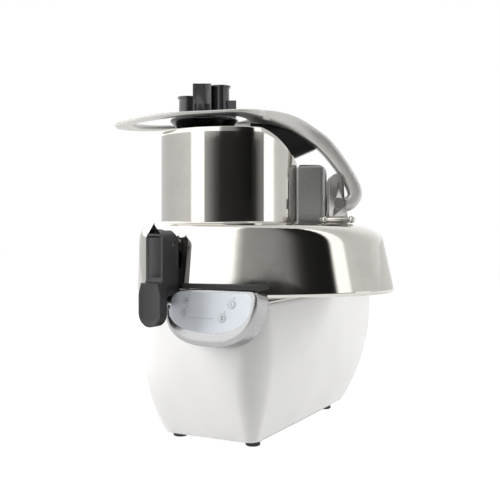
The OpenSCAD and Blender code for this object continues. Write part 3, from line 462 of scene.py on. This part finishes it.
# the rounded mouth: how far below the edge it starts, and how high it is
MOUTH_DROP, MOUTH_ROUND = 1.4, 1.25


def hopper_edge(angle):
    """Height of the hopper's mouth, which is cut away towards the pivot."""
    u = max(0.0, HOPPER_R * math.cos(angle) - CUT_START)
    return HOPPER_TOP - CUT_SLOPE * u - CUT_CURVE * u * u


def hopper():
    """Round hopper of polished sheet with a soft edge round its mouth."""
    bm = bmesh.new()
    bore = HOPPER_R - HOPPER_WALL
    middle = (HOPPER_R + bore) / 2
    outside_n, mouth_n, inside_n = 24, 8, 12
    # [radius, share of the height, drop] up the outside, over the mouth and down the inside
    rows = [(HOPPER_R, i / outside_n, 0.0) for i in range(outside_n)] + [(HOPPER_R, 1.0, -MOUTH_DROP)]
    for i in range(1, mouth_n):
        a = math.radians(180 * i / mouth_n)
        rows.append((middle + (HOPPER_WALL / 2) * math.cos(a), 1.0, MOUTH_ROUND * math.sin(a) - MOUTH_DROP))
    rows += [(bore, 1.0, -MOUTH_DROP)] + [(bore, 1 - i / inside_n, 0.0) for i in range(1, inside_n + 1)]

    def place(level, angle):
        r, share, drop = rows[level]
        z = HOPPER_BOTTOM + (hopper_edge(angle) - HOPPER_BOTTOM) * share + drop
        return r * math.cos(angle), r * math.sin(angle), z

    rings(bm, 192, len(rows), place)
    bmesh.ops.bridge_loops(bm, edges=[e for e in bm.edges if len(e.link_faces) == 1])
    outwards(bm)
    piece("hopper_drum", bm, TURNED, "lid", mirror_steel, "polished_steel", ("hopper",), smooth=40.0)


# Lever

# its centre line as (distance from the drive axis, height), and its depth there
LEVER_LINE = [(-164, 442.1), (-100, 446.1), (-60, 449.0), (-20, 451.0), (15, 452.5), (46, 450.6), (69, 448.2),
              (94, 441.5), (118, 427.5), (136, 413.6), (153, 393.6), (168, 371.6), (177, 354.5),
              (179.5, 342), (172, 331), (160, 328), (155, 330)]
LEVER_DEPTH = [9, 7, 5, 4.6, 5.4, 12.5, 18, 21, 22.5, 22.5, 21, 20, 20, 20, 20, 22, 22]
# the loop's tip, the ends of its round part and of its straight sides, and where the narrow arm starts
LOOP_TIP, ROUND_END, SIDES_END, ARM_START = -164.0, -62.0, 10.0, 128.0
LOOP_HALF, ARM_HALF = 80.0, 12.5
# the oval opening's centre, half length and half width
OPENING_AT, OPENING_LONG, OPENING_HALF = -55.0, 81.0, 61.0
# where the arm joins the loop's plate, and how far it goes on past the line's end
JOIN, ARM_END = 48.0, 9.0
# how far the close rows of vertices reach in from an edge, and the edge's rounding
EDGE_REACH, EDGE_ROUND = 5.0, 6.0


def lever_half(u):
    """Half width of the lever's plan at the distance u from the drive axis."""
    if u <= ROUND_END:
        return LOOP_HALF * math.sqrt(max(0.0, 1 - ((ROUND_END - u) / (ROUND_END - LOOP_TIP)) ** 2))
    if u <= SIDES_END:
        return LOOP_HALF
    if u <= ARM_START:
        share = (u - SIDES_END) / (ARM_START - SIDES_END)
        return ARM_HALF + (LOOP_HALF - ARM_HALF) * (1 + math.cos(math.pi * share)) / 2
    return ARM_HALF


def lever_opening(angle):
    """The point of the opening's edge at an angle of its oval."""
    c, s = math.cos(angle), math.sin(angle)
    power = 2 / PLAN_POWER
    return (OPENING_AT + OPENING_LONG * math.copysign(abs(c) ** power, c),
            OPENING_HALF * math.copysign(abs(s) ** power, s))


def lever():
    """Polished lever: a flat loop round the feed tube, drawn out into an arm that bows down to its pivot.
    It is laid out flat, its edges are rounded over, and then it is bent along its centre line."""
    line = curve_points([(u, z, t) for (u, z), t in zip(LEVER_LINE, LEVER_DEPTH)], 12)
    steps = np.linalg.norm(np.diff(line[:, :2], axis=0), axis=1)
    along = np.concatenate([[0], np.cumsum(steps)]) + LOOP_TIP
    last = float(along[-1])
    slope = np.gradient(line[:, :2], axis=0)
    slope /= np.linalg.norm(slope, axis=1)[:, None]

    def on_line(s, column):
        """The line's value at the length s along it."""
        return float(np.interp(s, along, column))

    def half_at(s):
        return lever_half(on_line(s, line[:, 0]))

    bm = bmesh.new()
    made = bmesh.ops.create_circle(bm, cap_ends=False, segments=144, radius=1.0)["verts"]
    ring = {v: math.atan2(v.co.y, v.co.x) for v in made}
    # the opening's edge and the loop's outline in each direction
    band = {}
    for a in ring.values():
        x0, y0 = lever_opening(a)
        dx, dy = math.cos(a) * 1.1, math.sin(a)
        low, high = 0.0, 260.0
        for _ in range(30):
            m = (low + high) / 2
            x, y = x0 + dx * m, y0 + dy * m
            low, high = (m, high) if LOOP_TIP < x < JOIN and abs(y) < half_at(x) else (low, m)
        band[round(a, 5)] = Vector((x0, y0)), Vector((x0 + dx * low, y0 + dy * low))
    # rows of vertices from the one to the other: [share of the width, and of the edge's reach]
    edge_rows = [offset / EDGE_REACH for offset in (0.0, 0.25, 0.9, 1.9, 3.2, 5.0)]
    rows = [(0.0, own) for own in edge_rows]
    rows += [(share, 1 - 2 * share) for share in (0.16, 0.36, 0.5, 0.64, 0.84)]
    rows += [(1.0, -own) for own in reversed(edge_rows)]
    edges = list(bm.edges)
    for level, (share, own) in enumerate(rows):
        if level:
            ring, edges = next_ring(bm, ring, edges)
        for v, a in ring.items():
            inner, outer = band[round(a, 5)]
            length = (outer - inner).length
            reach = min(EDGE_REACH, length * 0.45) / length
            point = inner + (outer - inner) * (share + own * reach)
            v.co = (point.x, point.y, 0.0)
    # the arm goes on from the straight end of the loop's plate
    edges = [e for e in edges if all(v.co.x > JOIN - 0.01 for v in e.verts)]
    row = {v: v.co.y / half_at(JOIN) for e in edges for v in e.verts}
    for s in np.linspace(JOIN, last + ARM_END, 56)[1:]:
        row, edges = next_ring(bm, row, edges)
        widest = half_at(min(s, last))
        for v, share in row.items():
            v.co = (s, share * widest, 0.0)
    outwards(bm)
    rim = [e for e in bm.edges if len(e.link_faces) == 1]
    # distance of every vertex from the plate's edges, for rounding them over
    starts = np.array([e.verts[0].co[:2] for e in rim])
    ways = np.array([e.verts[1].co[:2] for e in rim]) - starts
    bm.verts.ensure_lookup_table()
    where = np.array([v.co[:2] for v in bm.verts])
    nearest = np.full(len(where), 1e9)
    for start, way in zip(starts, ways):
        t = np.clip(((where - start) @ way) / max(way @ way, 1e-12), 0, 1)
        nearest = np.minimum(nearest, np.linalg.norm(where - start - t[:, None] * way, axis=1))
    depth = np.interp(where[:, 0], along, line[:, 2])
    radius = np.minimum(depth / 2, EDGE_ROUND)
    near = np.minimum(nearest, radius)
    lift = depth / 2 - (radius - np.sqrt(np.maximum(radius ** 2 - (radius - near) ** 2, 0)))
    for v, h in zip(bm.verts, lift):
        v.co.z = float(h)
    # the same form upside down below it, and a wall between the two rims
    sheet = list(bm.verts) + list(bm.edges) + list(bm.faces)
    wall = bmesh.ops.extrude_edge_only(bm, edges=rim)["geom"]
    below = bmesh.ops.duplicate(bm, geom=sheet)["geom"]
    for v in (g for g in wall + below if isinstance(g, bmesh.types.BMVert)):
        v.co.z = -v.co.z
    # bend the flat form along the centre line
    for v in bm.verts:
        s, w = v.co.x, v.co.z
        tu, tz = on_line(s, slope[:, 0]), on_line(s, slope[:, 1])
        size = math.hypot(tu, tz)
        tu, tz = tu / size, tz / size
        beyond = max(0.0, s - last)
        u, z = on_line(s, line[:, 0]), on_line(s, line[:, 1])
        v.co = (u - tz * w + tu * beyond, v.co.y, z + tu * w + tz * beyond)
    outwards(bm)
    piece("lever_loop_and_arm", bm, TURNED, "lever", lever_steel, "polished_steel", ("lever_arm",),
          smooth=50.0)


# Smaller moulded pieces

# the keys' centres on the panel
KEYS = {"stop": (-34, -16), "speed_one": (-36, -32), "start": (32, -18), "speed_two": (20, -36)}
# outlines of the rim, of its opening and of the film, each a little smaller: width, height, right and left
# corner radius, height of the top edge
RIM_OUTLINE, OPENING_OUTLINE = (136, 73, 10, 22, 0), (121, 52, 8, 20, -3.75)
FILM_OUTLINE = (120.7, 51.7, 8, 20, -3.9)
# an outline has 49 points; the rim leaves out those behind the latch, between these two
OUTLINE_N, LAST_TOP, FIRST_SIDE = 49, 12, 21
# the rim's lower end behind the latch, and the film's edge there
RIM_END, FILM_LEFT, FILM_LEFT_LOW = -22.4, -57.4, -24.5
# the radius of the rim's roll, and the height of its back edge
RIM_ROLL, RIM_BACK = 7.0, -30.6
FILM_THICK = 1.5
# a key's [radius, height] over its dome and down its side, and its hole in the film
KEY_PROFILE = [(0.001, 0.54), (2.6, 0.53), (4.3, 0.48), (5.3, 0.34), (5.8, 0.14), (6.0, -0.1), (6.0, -2.4),
               (0.001, -2.4)]
KEY_HOLE = 6.3


def half_moon(w, h, right_r, left_r, top):
    """Outline of the panel from its right corner over the top and round its bowed underside."""
    arc_n, bow_n, bow_power = 10, 28, 0.8
    points = []
    for x, r, start in ((w / 2 - right_r, right_r, 0), (-w / 2 + left_r, left_r, 90)):
        points += arc_line(x, -r, r, start, start + 90, arc_n)
    for i in range(1, bow_n):
        a = math.pi * (1 + i / bow_n)
        c, s = math.cos(a), math.sin(a)
        side = left_r if c < 0 else right_r
        x = w / 2 * math.copysign(abs(c) ** bow_power, c)
        points.append((x, -side - (h - side) * abs(s) ** bow_power))
    return [Vector((x, y + top)) for x, y in points]


def control_rim():
    """Cast rim of the control panel, rolled over at its outer edge and open behind the latch."""
    order = list(range(FIRST_SIDE, OUTLINE_N)) + list(range(LAST_TOP + 1))
    outer, inner = half_moon(*RIM_OUTLINE), half_moon(*OPENING_OUTLINE)
    for line in (outer, inner):
        line[FIRST_SIDE].y = RIM_END
    # rows from the opening's wall over the flat front and the rolled edge to the back: the wall's and the
    # back's have a height, the flat's a share of its width and the roll's an angle
    section = [("in", -2.6), ("in", 0.0), ("flat", 0.5)] + [("roll", 9 * i) for i in range(11)]
    section.append(("back", RIM_BACK))
    bm = bmesh.new()
    verts = [bm.verts.new((i, 0, 0)) for i in range(len(order))]
    row = dict(zip(verts, order))
    edges = [bm.edges.new(pair) for pair in zip(verts, verts[1:])]
    for level, (kind, value) in enumerate(section):
        if level:
            row, edges = next_ring(bm, row, edges)
        for v, i in row.items():
            across = outer[i] - inner[i]
            roll = min(RIM_ROLL, across.length * 0.8)
            way = across.normalized()
            if kind == "in":
                spot, z = inner[i], value
            elif kind == "flat":
                spot, z = inner[i] + way * (across.length - roll) * value, 0.0
            elif kind == "roll":
                a = math.radians(value)
                spot, z = outer[i] - way * roll * (1 - math.sin(a)), -roll * (1 - math.cos(a))
            else:
                spot, z = outer[i], value
            v.co = (spot.x, spot.y, z)
    outwards(bm)
    # an open form has no outside of its own: its front has to face out of the panel
    if sum(f.normal.z for f in bm.faces if abs(f.normal.z) > 0.9) < 0:
        bmesh.ops.reverse_faces(bm, faces=bm.faces)
    piece("control_rim", bm, PANEL, "base", silver_coat, "panel_grey", ("control_bezel",), smooth=34.0)


def keypad():
    """Keypad film with its four domed keys."""
    bm = bmesh.new()
    verts = [bm.verts.new((max(x, FILM_LEFT) if y > FILM_LEFT_LOW else x, y, -FILM_THICK))
             for x, y in half_moon(*FILM_OUTLINE)]
    edges = [bm.edges.new(pair) for pair in zip(verts, verts[1:] + verts[:1])]
    for x, y in KEYS.values():
        hole = bmesh.ops.create_circle(bm, cap_ends=False, segments=48, radius=KEY_HOLE,
                                       matrix=Matrix.Translation((x, y, -FILM_THICK)))["verts"]
        edges += list({e for v in hole for e in v.link_edges})
    faces = [g for g in bmesh.ops.triangle_fill(bm, use_beauty=True, edges=edges)["geom"]
             if isinstance(g, bmesh.types.BMFace)]
    raised = bmesh.ops.extrude_face_region(bm, geom=faces, use_keep_orig=True)["geom"]
    bmesh.ops.translate(bm, verts=[g for g in raised if isinstance(g, bmesh.types.BMVert)],
                        vec=(0, 0, FILM_THICK))
    bmesh.ops.recalc_face_normals(bm, faces=bm.faces)
    piece("keypad_film", bm, PANEL, "base", keypad_film, "face_grey", ("control_face",))
    for key, (x, y) in KEYS.items():
        bm = bmesh.new()
        spun(bm, KEY_PROFILE, 48)
        bmesh.ops.translate(bm, verts=bm.verts, vec=(x, y, 0))
        piece(key + "_key_cap", bm, PANEL, key + "_button", key_film, "face_grey", (key + "_key",))


def latch_handle():
    """Moulded latch handle: a long groove round its upper face and a thumb dish in its grip."""
    bm = cad_copy("latch_handle", LATCH)
    rounded(bm, sharp_edges(bm), 2.6, 5)
    # steps of [inset, height], on the faces that look out and are larger than this in square millimetres
    groove, dish = [(3.0, 0.0), (0.9, -1.1), (0.9, 1.0)], [(2.5, 0.0), (1.5, -0.7), (3.5, -1.2)]
    grip_top, least_area = 215, 150
    for face in [f for f in bm.faces if f.normal.x > 0.99 and f.calc_area() > least_area]:
        for thickness, depth in groove if face.calc_center_median().z > grip_top else dish:
            bmesh.ops.inset_region(bm, faces=[face], thickness=thickness, depth=depth, use_even_offset=True)
    piece("latch_handle_grip", bm, LATCH, "latch", black_nylon, "black_plastic", ("latch_handle",),
          smooth=34.0)


def pusher():
    """Moulded pusher; the front of its block has two slots and a round boss."""
    bm = cad_copy("pusher", TURNED)
    block_foot = 452
    front = max((f for f in bm.faces if f.normal.y < -0.99 and f.calc_center_median().z > block_foot),
                key=lambda f: f.calc_area())
    corners = [v.co.copy() for v in front.verts]
    left, low, face_y = min(c.x for c in corners), min(c.z for c in corners), corners[0].y
    # the slots' left edges, width and depth, and their ends
    slots, slot_w, slot_depth = (left + 2.6, left + 16.4), 2.6, 1.6
    slot_low, slot_high = low + 1.5, low + 17
    cuts = [((x, face_y, 0), (1, 0, 0)) for start in slots for x in (start, start + slot_w)]
    cuts += [((left, face_y, z), (0, 0, 1)) for z in (slot_low, slot_high)]
    faces = {front}
    for spot, normal in cuts:
        geom = list(faces) + list({e for f in faces for e in f.edges})
        geom += list({v for f in faces for v in f.verts})
        made = bmesh.ops.bisect_plane(bm, geom=geom, dist=1e-4, plane_co=spot, plane_no=normal)["geom"]
        faces |= {g for g in made if isinstance(g, bmesh.types.BMFace)}
        faces = {f for f in faces if f.is_valid}
    for face in faces:
        c = face.calc_center_median()
        if slot_low < c.z < slot_high and any(start < c.x < start + slot_w for start in slots):
            bmesh.ops.inset_region(bm, faces=[face], thickness=0.05, depth=-slot_depth)
    rounded(bm, [e for e in sharp_edges(bm, 60) if e.calc_length() > 3], 0.7, 3)
    piece("pusher_and_grip", bm, TURNED, "plunger", pusher_finish, "black_plastic", ("pusher",), smooth=32.0)
    bm = bmesh.new()
    spun(bm, [(0.01, 1.1), (2.4, 1.1), (2.9, 0.8), (3.2, 0.9), (4.2, 0.9), (4.7, 0.6), (4.8, -0.2)], 40)
    bmesh.ops.rotate(bm, verts=bm.verts, cent=(0, 0, 0), matrix=Matrix.Rotation(math.pi / 2, 3, "X"))
    bmesh.ops.translate(bm, verts=bm.verts, vec=(left + 10.8, face_y, low + 13))
    piece("pusher_block_boss", bm, TURNED, "plunger", pusher_finish, "black_plastic")


def strokes(bm, lines, width):
    """Thin printed lines: each is a row of points, drawn as flat bars joined end to end."""
    for line in lines:
        for (x0, y0), (x1, y1) in zip(line, line[1:]):
            # a little longer than its two points, so that the bars of a bent line meet
            long = math.hypot(x1 - x0, y1 - y0) + width * 0.6
            made = bmesh.ops.create_grid(bm, x_segments=1, y_segments=1, size=0.5)["verts"]
            bmesh.ops.scale(bm, verts=made, vec=(long, width, 1))
            bmesh.ops.rotate(bm, verts=made, cent=(0, 0, 0),
                             matrix=Matrix.Rotation(math.atan2(y1 - y0, x1 - x0), 3, "Z"))
            bmesh.ops.translate(bm, verts=made, vec=((x0 + x1) / 2, (y0 + y1) / 2, 0))


# the keys' signs as lines about their centres: a small square, a 1, a bar and a 2
SIGNS = {
    "stop": [arc_line(0, 0, 1.5, 45, 405, 4)],
    "speed_one": [[(-0.8, 0.9), (0.2, 1.8), (0.2, -1.8)]],
    "start": [[(0, 1.8), (0, -1.8)]],
    "speed_two": [arc_line(0, 0.8, 1.1, 170, -40, 8) + [(-1.1, -1.7), (1.3, -1.7)]],
}
# heights of the prints over the panel's plane, their thickness in metres and the widths of their lines
KEY_PRINT_Z, FILM_PRINT_Z, INK_THICK = 0.62, 0.03, 0.00008
SIGN_W, RING_W, DOT_W, ROW_W = 0.8, 0.5, 1.2, 0.8
RING_R = 4.0


def keypad_print():
    """Printed marks: a dashed ring and a sign on each key, a dot above it, and a dotted line across."""
    thick = [("SOLIDIFY", {"thickness": INK_THICK, "offset": 0.0})]
    for key, lines in SIGNS.items():
        bm = bmesh.new()
        strokes(bm, lines, SIGN_W)
        strokes(bm, [arc_line(0, 0, RING_R, a, a + 20, 3) for a in range(0, 360, 36)], RING_W)
        bmesh.ops.translate(bm, verts=bm.verts, vec=(*KEYS[key], KEY_PRINT_Z))
        piece(key + "_key_print", bm, PANEL, key + "_button", print_ink, "dark_steel", modifiers=thick)
    bm = bmesh.new()
    strokes(bm, [[(x + 3.4, y + 7.8), (x + 4.0, y + 7.8)] for x, y in KEYS.values()], DOT_W)
    strokes(bm, [[(-27 + 3.7 * i, -37.5), (-26.4 + 3.7 * i, -37.5)] for i in range(10)], ROW_W)
    bmesh.ops.translate(bm, verts=bm.verts, vec=(0, 0, FILM_PRINT_Z))
    piece("keypad_print", bm, PANEL, "base", print_ink, "dark_steel", modifiers=thick)


motor_base()
lid()
hopper()
lever()
control_rim()
keypad()
keypad_print()
latch_handle()
pusher()

# [name, CAD piece, body, finish, slot, width of the round, its segments]
SOFTENED = [
    ("tower_casting", "tower_housing", "lid", tower_coat, "cast_grey", 6.0, 8),
    ("lever_cheeks", "lever_bracket", "lid", cheek_steel, "polished_steel", 1.6, 4),
    ("feed_tube_and_funnel", "feed_tube", "lever", black_gloss, "black_plastic", 0.7, 2),
    ("press_web_moulding", "press_web", "lever", black_gloss, "black_plastic", 1.5, 3),
    ("deck_sheet", "deck_plate", "base", deck_steel, "polished_steel", 0.5, 2),
    ("lid_hinge_lugs", "hinge_lugs", "lid", deck_steel, "polished_steel", 0.6, 2),
    ("deck_hinge_brackets", "hinge_brackets", "base", deck_steel, "polished_steel", 0.5, 2),
    ("latch_strike", "latch_catch", "base", deck_steel, "polished_steel", 0.5, 2),
    ("rod_with_balls", "stop_rod", "lid", mirror_steel, "polished_steel", 0.4, 2),
]
for name, cad_node, body, finish, slot, width, segments in SOFTENED:
    softened(name, cad_node, body, finish, slot, width, segments)

# CAD pieces shown as they are, with their finish
FINISHES = {
    "bottom_plate": pin_steel, "rubber_feet": foot_rubber, "deck_screws": pin_steel,
    "control_board": board_laminate, "console_seal": seal_rubber, "power_inlet": black_nylon,
    "motor_body": rough_casting, "motor_shaft": pin_steel, "motor_pulley": rough_casting,
    "motor_plate": rough_casting, "drive_belt": seal_rubber, "drive_pulley": rough_casting,
    "drive_shaft": tool_steel, "bearing_housing": rough_casting, "upper_bearing": tool_steel,
    "lower_bearing": tool_steel, "shaft_seal": seal_rubber, "ejector_disc": disc_acetal,
    "cutting_disc": tool_steel, "disc_blades": tool_steel, "disc_knob": black_nylon,
    "chamber_ring": deck_steel, "discharge_guide": deck_steel, "hinge_pin": pin_steel,
    "lever_pin": pin_steel, "press_plate": black_nylon, "latch_bracket": deck_steel,
    "latch_hook": deck_steel, "latch_pin": pin_steel,
}
for cad_node, finish in FINISHES.items():
    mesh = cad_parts[cad_node].data
    mesh.materials.clear()
    mesh.materials.append(finish)


# Stage: floor, studio light and camera

# the camera stands level, 0.3 m up; CENTRE is what the lights look at
EYE = Vector((0.5355, -1.1197, 0.298))
LOOK = Vector((-0.460, 0.888, 0.0)).normalized()
BACK, RIGHT = -LOOK, Vector((LOOK.y, -LOOK.x, 0.0))
CENTRE = DRIVE + Vector((0.0, 0.0, 0.3))


def studio_place(azimuth, distance, height):
    """A point at an azimuth from the camera's side of the machine, positive to the camera's right."""
    a = math.radians(azimuth)
    way = BACK * math.cos(a) + RIGHT * math.sin(a)
    return CENTRE + way * distance + Vector((0, 0, height - CENTRE.z))


# What the polished steel mirrors: a round tent of cloth with dark flags and bright boxes, in two bands.
# Each band of the tent runs from one height to the next, 10 m out, and lists azimuths from the camera's
# side, positive to the right, with how bright the cloth is there.
TENT_R = 10.0
TENT = [
    ("low_tent_cloth", 0.02, 1.6, [
        (-116, 0.78), (-88, 0.84), (-65, 0.92), (-63, 1.9), (-41, 1.9), (-39.5, 0.52), (-30, 0.27),
        (-22, 0.11), (-13, 0.034), (10, 0.024), (27, 0.017), (36, 0.01), (44, 0.045), (53, 0.25),
        (59, 0.3), (60.5, 1.9), (77, 1.9), (82, 0.98), (95, 0.85), (125, 0.88)]),
    ("high_tent_cloth", 1.6, 20.0, [
        (-84, 1.9), (-17, 1.9), (-13.5, 0.8), (-10, 0.44), (-5, 0.4), (3, 0.36), (7, 0.32),
        (11, 0.26), (14.3, 0.15), (18, 0.06), (22, 0.027), (30, 0.018), (39, 0.014), (41.5, 0.05),
        (44, 1.8), (55, 1.7), (57.5, 0.92), (72, 0.84), (92, 0.86), (112, 1.0), (140, 1.2)]),
]
# a ramp holds values up to 1, so the cloth's are divided by this there and its glow is as strong
TENT_PEAK = 2.0


def tent_cloth(name, stops):
    """Cloth whose brightness follows the azimuth round the machine."""
    made = bpy.data.materials.new(name)
    made.use_nodes = True
    tree = made.node_tree
    tree.nodes.clear()
    place = node(tree, "ShaderNodeTexCoord").outputs["Object"]
    right = node(tree, "ShaderNodeVectorMath", {"operation": "DOT_PRODUCT"}, i0=place, i1=RIGHT)
    back = node(tree, "ShaderNodeVectorMath", {"operation": "DOT_PRODUCT"}, i0=place, i1=BACK)
    angle = node(tree, "ShaderNodeMath", {"operation": "ARCTAN2"}, i0=right.outputs["Value"],
                 i1=back.outputs["Value"])
    turn = node(tree, "ShaderNodeMapRange", Value=angle.outputs[0], From_Min=-math.pi, From_Max=math.pi)
    ramp = [((azimuth + 180) / 360, grey(bright / TENT_PEAK)) for azimuth, bright in stops]
    shade = node(tree, "ShaderNodeValToRGB", {"stops": ramp}, Fac=turn.outputs["Result"])
    light = node(tree, "ShaderNodeEmission", Color=shade.outputs["Color"], Strength=TENT_PEAK)
    node(tree, "ShaderNodeOutputMaterial", Surface=light.outputs["Emission"])
    return made


for name, low, high, stops in TENT:
    bm = bmesh.new()
    wall = bmesh.ops.create_circle(bm, cap_ends=False, segments=72, radius=TENT_R)["verts"]
    bmesh.ops.translate(bm, verts=wall, vec=(0, 0, low))
    ring, _ = next_ring(bm, {v: 0 for v in wall}, list(bm.edges))
    bmesh.ops.translate(bm, verts=list(ring), vec=(0, 0, high - low))
    tent = new_object(name, bm, tent_cloth(name, stops))
    tent.visible_camera = tent.visible_diffuse = tent.visible_shadow = tent.visible_transmission = False


def shown(tree):
    """1 for rays from the camera, off a mirror or through glass, which show the stage; 0 for the others."""
    path = node(tree, "ShaderNodeLightPath")
    seen = node(tree, "ShaderNodeMath", {"operation": "MAXIMUM"}, i0=path.outputs["Is Camera Ray"],
                i1=path.outputs["Is Glossy Ray"])
    return node(tree, "ShaderNodeMath", {"operation": "MAXIMUM"}, i0=seen.outputs[0],
                i1=path.outputs["Is Transmission Ray"]).outputs[0]


def paper_floor():
    """White paper that glows nearly to white, so that only the machine's shadow shows on it."""
    made = bpy.data.materials.new("white_paper_floor")
    made.use_nodes = True
    tree = made.node_tree
    tree.nodes.clear()
    paper = node(tree, "ShaderNodeBsdfDiffuse", Color=grey(0.3))
    lit = node(tree, "ShaderNodeEmission", Color=grey(1.0), Strength=0.94)
    both = node(tree, "ShaderNodeAddShader", i0=paper.outputs[0], i1=lit.outputs[0])
    plain = node(tree, "ShaderNodeBsdfDiffuse", Color=grey(0.8))
    mixed = node(tree, "ShaderNodeMixShader", i0=shown(tree), i1=plain.outputs[0], i2=both.outputs[0])
    node(tree, "ShaderNodeOutputMaterial", Surface=mixed.outputs[0])
    return made


floor_bm = bmesh.new()
bmesh.ops.create_grid(floor_bm, x_segments=1, y_segments=1, size=6.0)
new_object("floor", floor_bm, paper_floor())

world = bpy.data.worlds.new("studio")
bpy.context.scene.world = world
world.use_nodes = True
world.node_tree.nodes.clear()
white = node(world.node_tree, "ShaderNodeBackground", Color=grey(1.0), Strength=1.0)
dim = node(world.node_tree, "ShaderNodeBackground", Color=grey(1.0), Strength=0.2)
mixed = node(world.node_tree, "ShaderNodeMixShader", i0=shown(world.node_tree), i1=dim.outputs[0],
             i2=white.outputs[0])
node(world.node_tree, "ShaderNodeOutputWorld", Surface=mixed.outputs[0])


def softbox(name, azimuth, distance, height, size, watts):
    """An area light that looks at the machine."""
    lamp = bpy.data.lights.new(name, "AREA")
    lamp.shape = "RECTANGLE"
    lamp.size, lamp.size_y = size
    lamp.energy = watts
    made = bpy.data.objects.new(name, lamp)
    bpy.context.collection.objects.link(made)
    made.location = studio_place(azimuth, distance, height)
    made.rotation_euler = (CENTRE - made.location).to_track_quat("-Z", "Y").to_euler()
    made.visible_glossy = False


softbox("key_light", -86, 2.2, 1.1, (1.0, 2.0), 68)
softbox("side_light", 104, 2.2, 1.0, (1.0, 2.0), 34)
softbox("top_light", 0, 0.3, 2.4, (1.6, 1.6), 10)

view = bpy.data.cameras.new("view")
view.lens = 59.3
view.sensor_width = 36
view.shift_y = -0.048
camera = bpy.data.objects.new("view", view)
bpy.context.collection.objects.link(camera)
camera.location = EYE
camera.rotation_euler = LOOK.to_track_quat("-Z", "Y").to_euler()
bpy.context.scene.camera = camera
bpy.context.scene.view_settings.view_transform = "Standard"
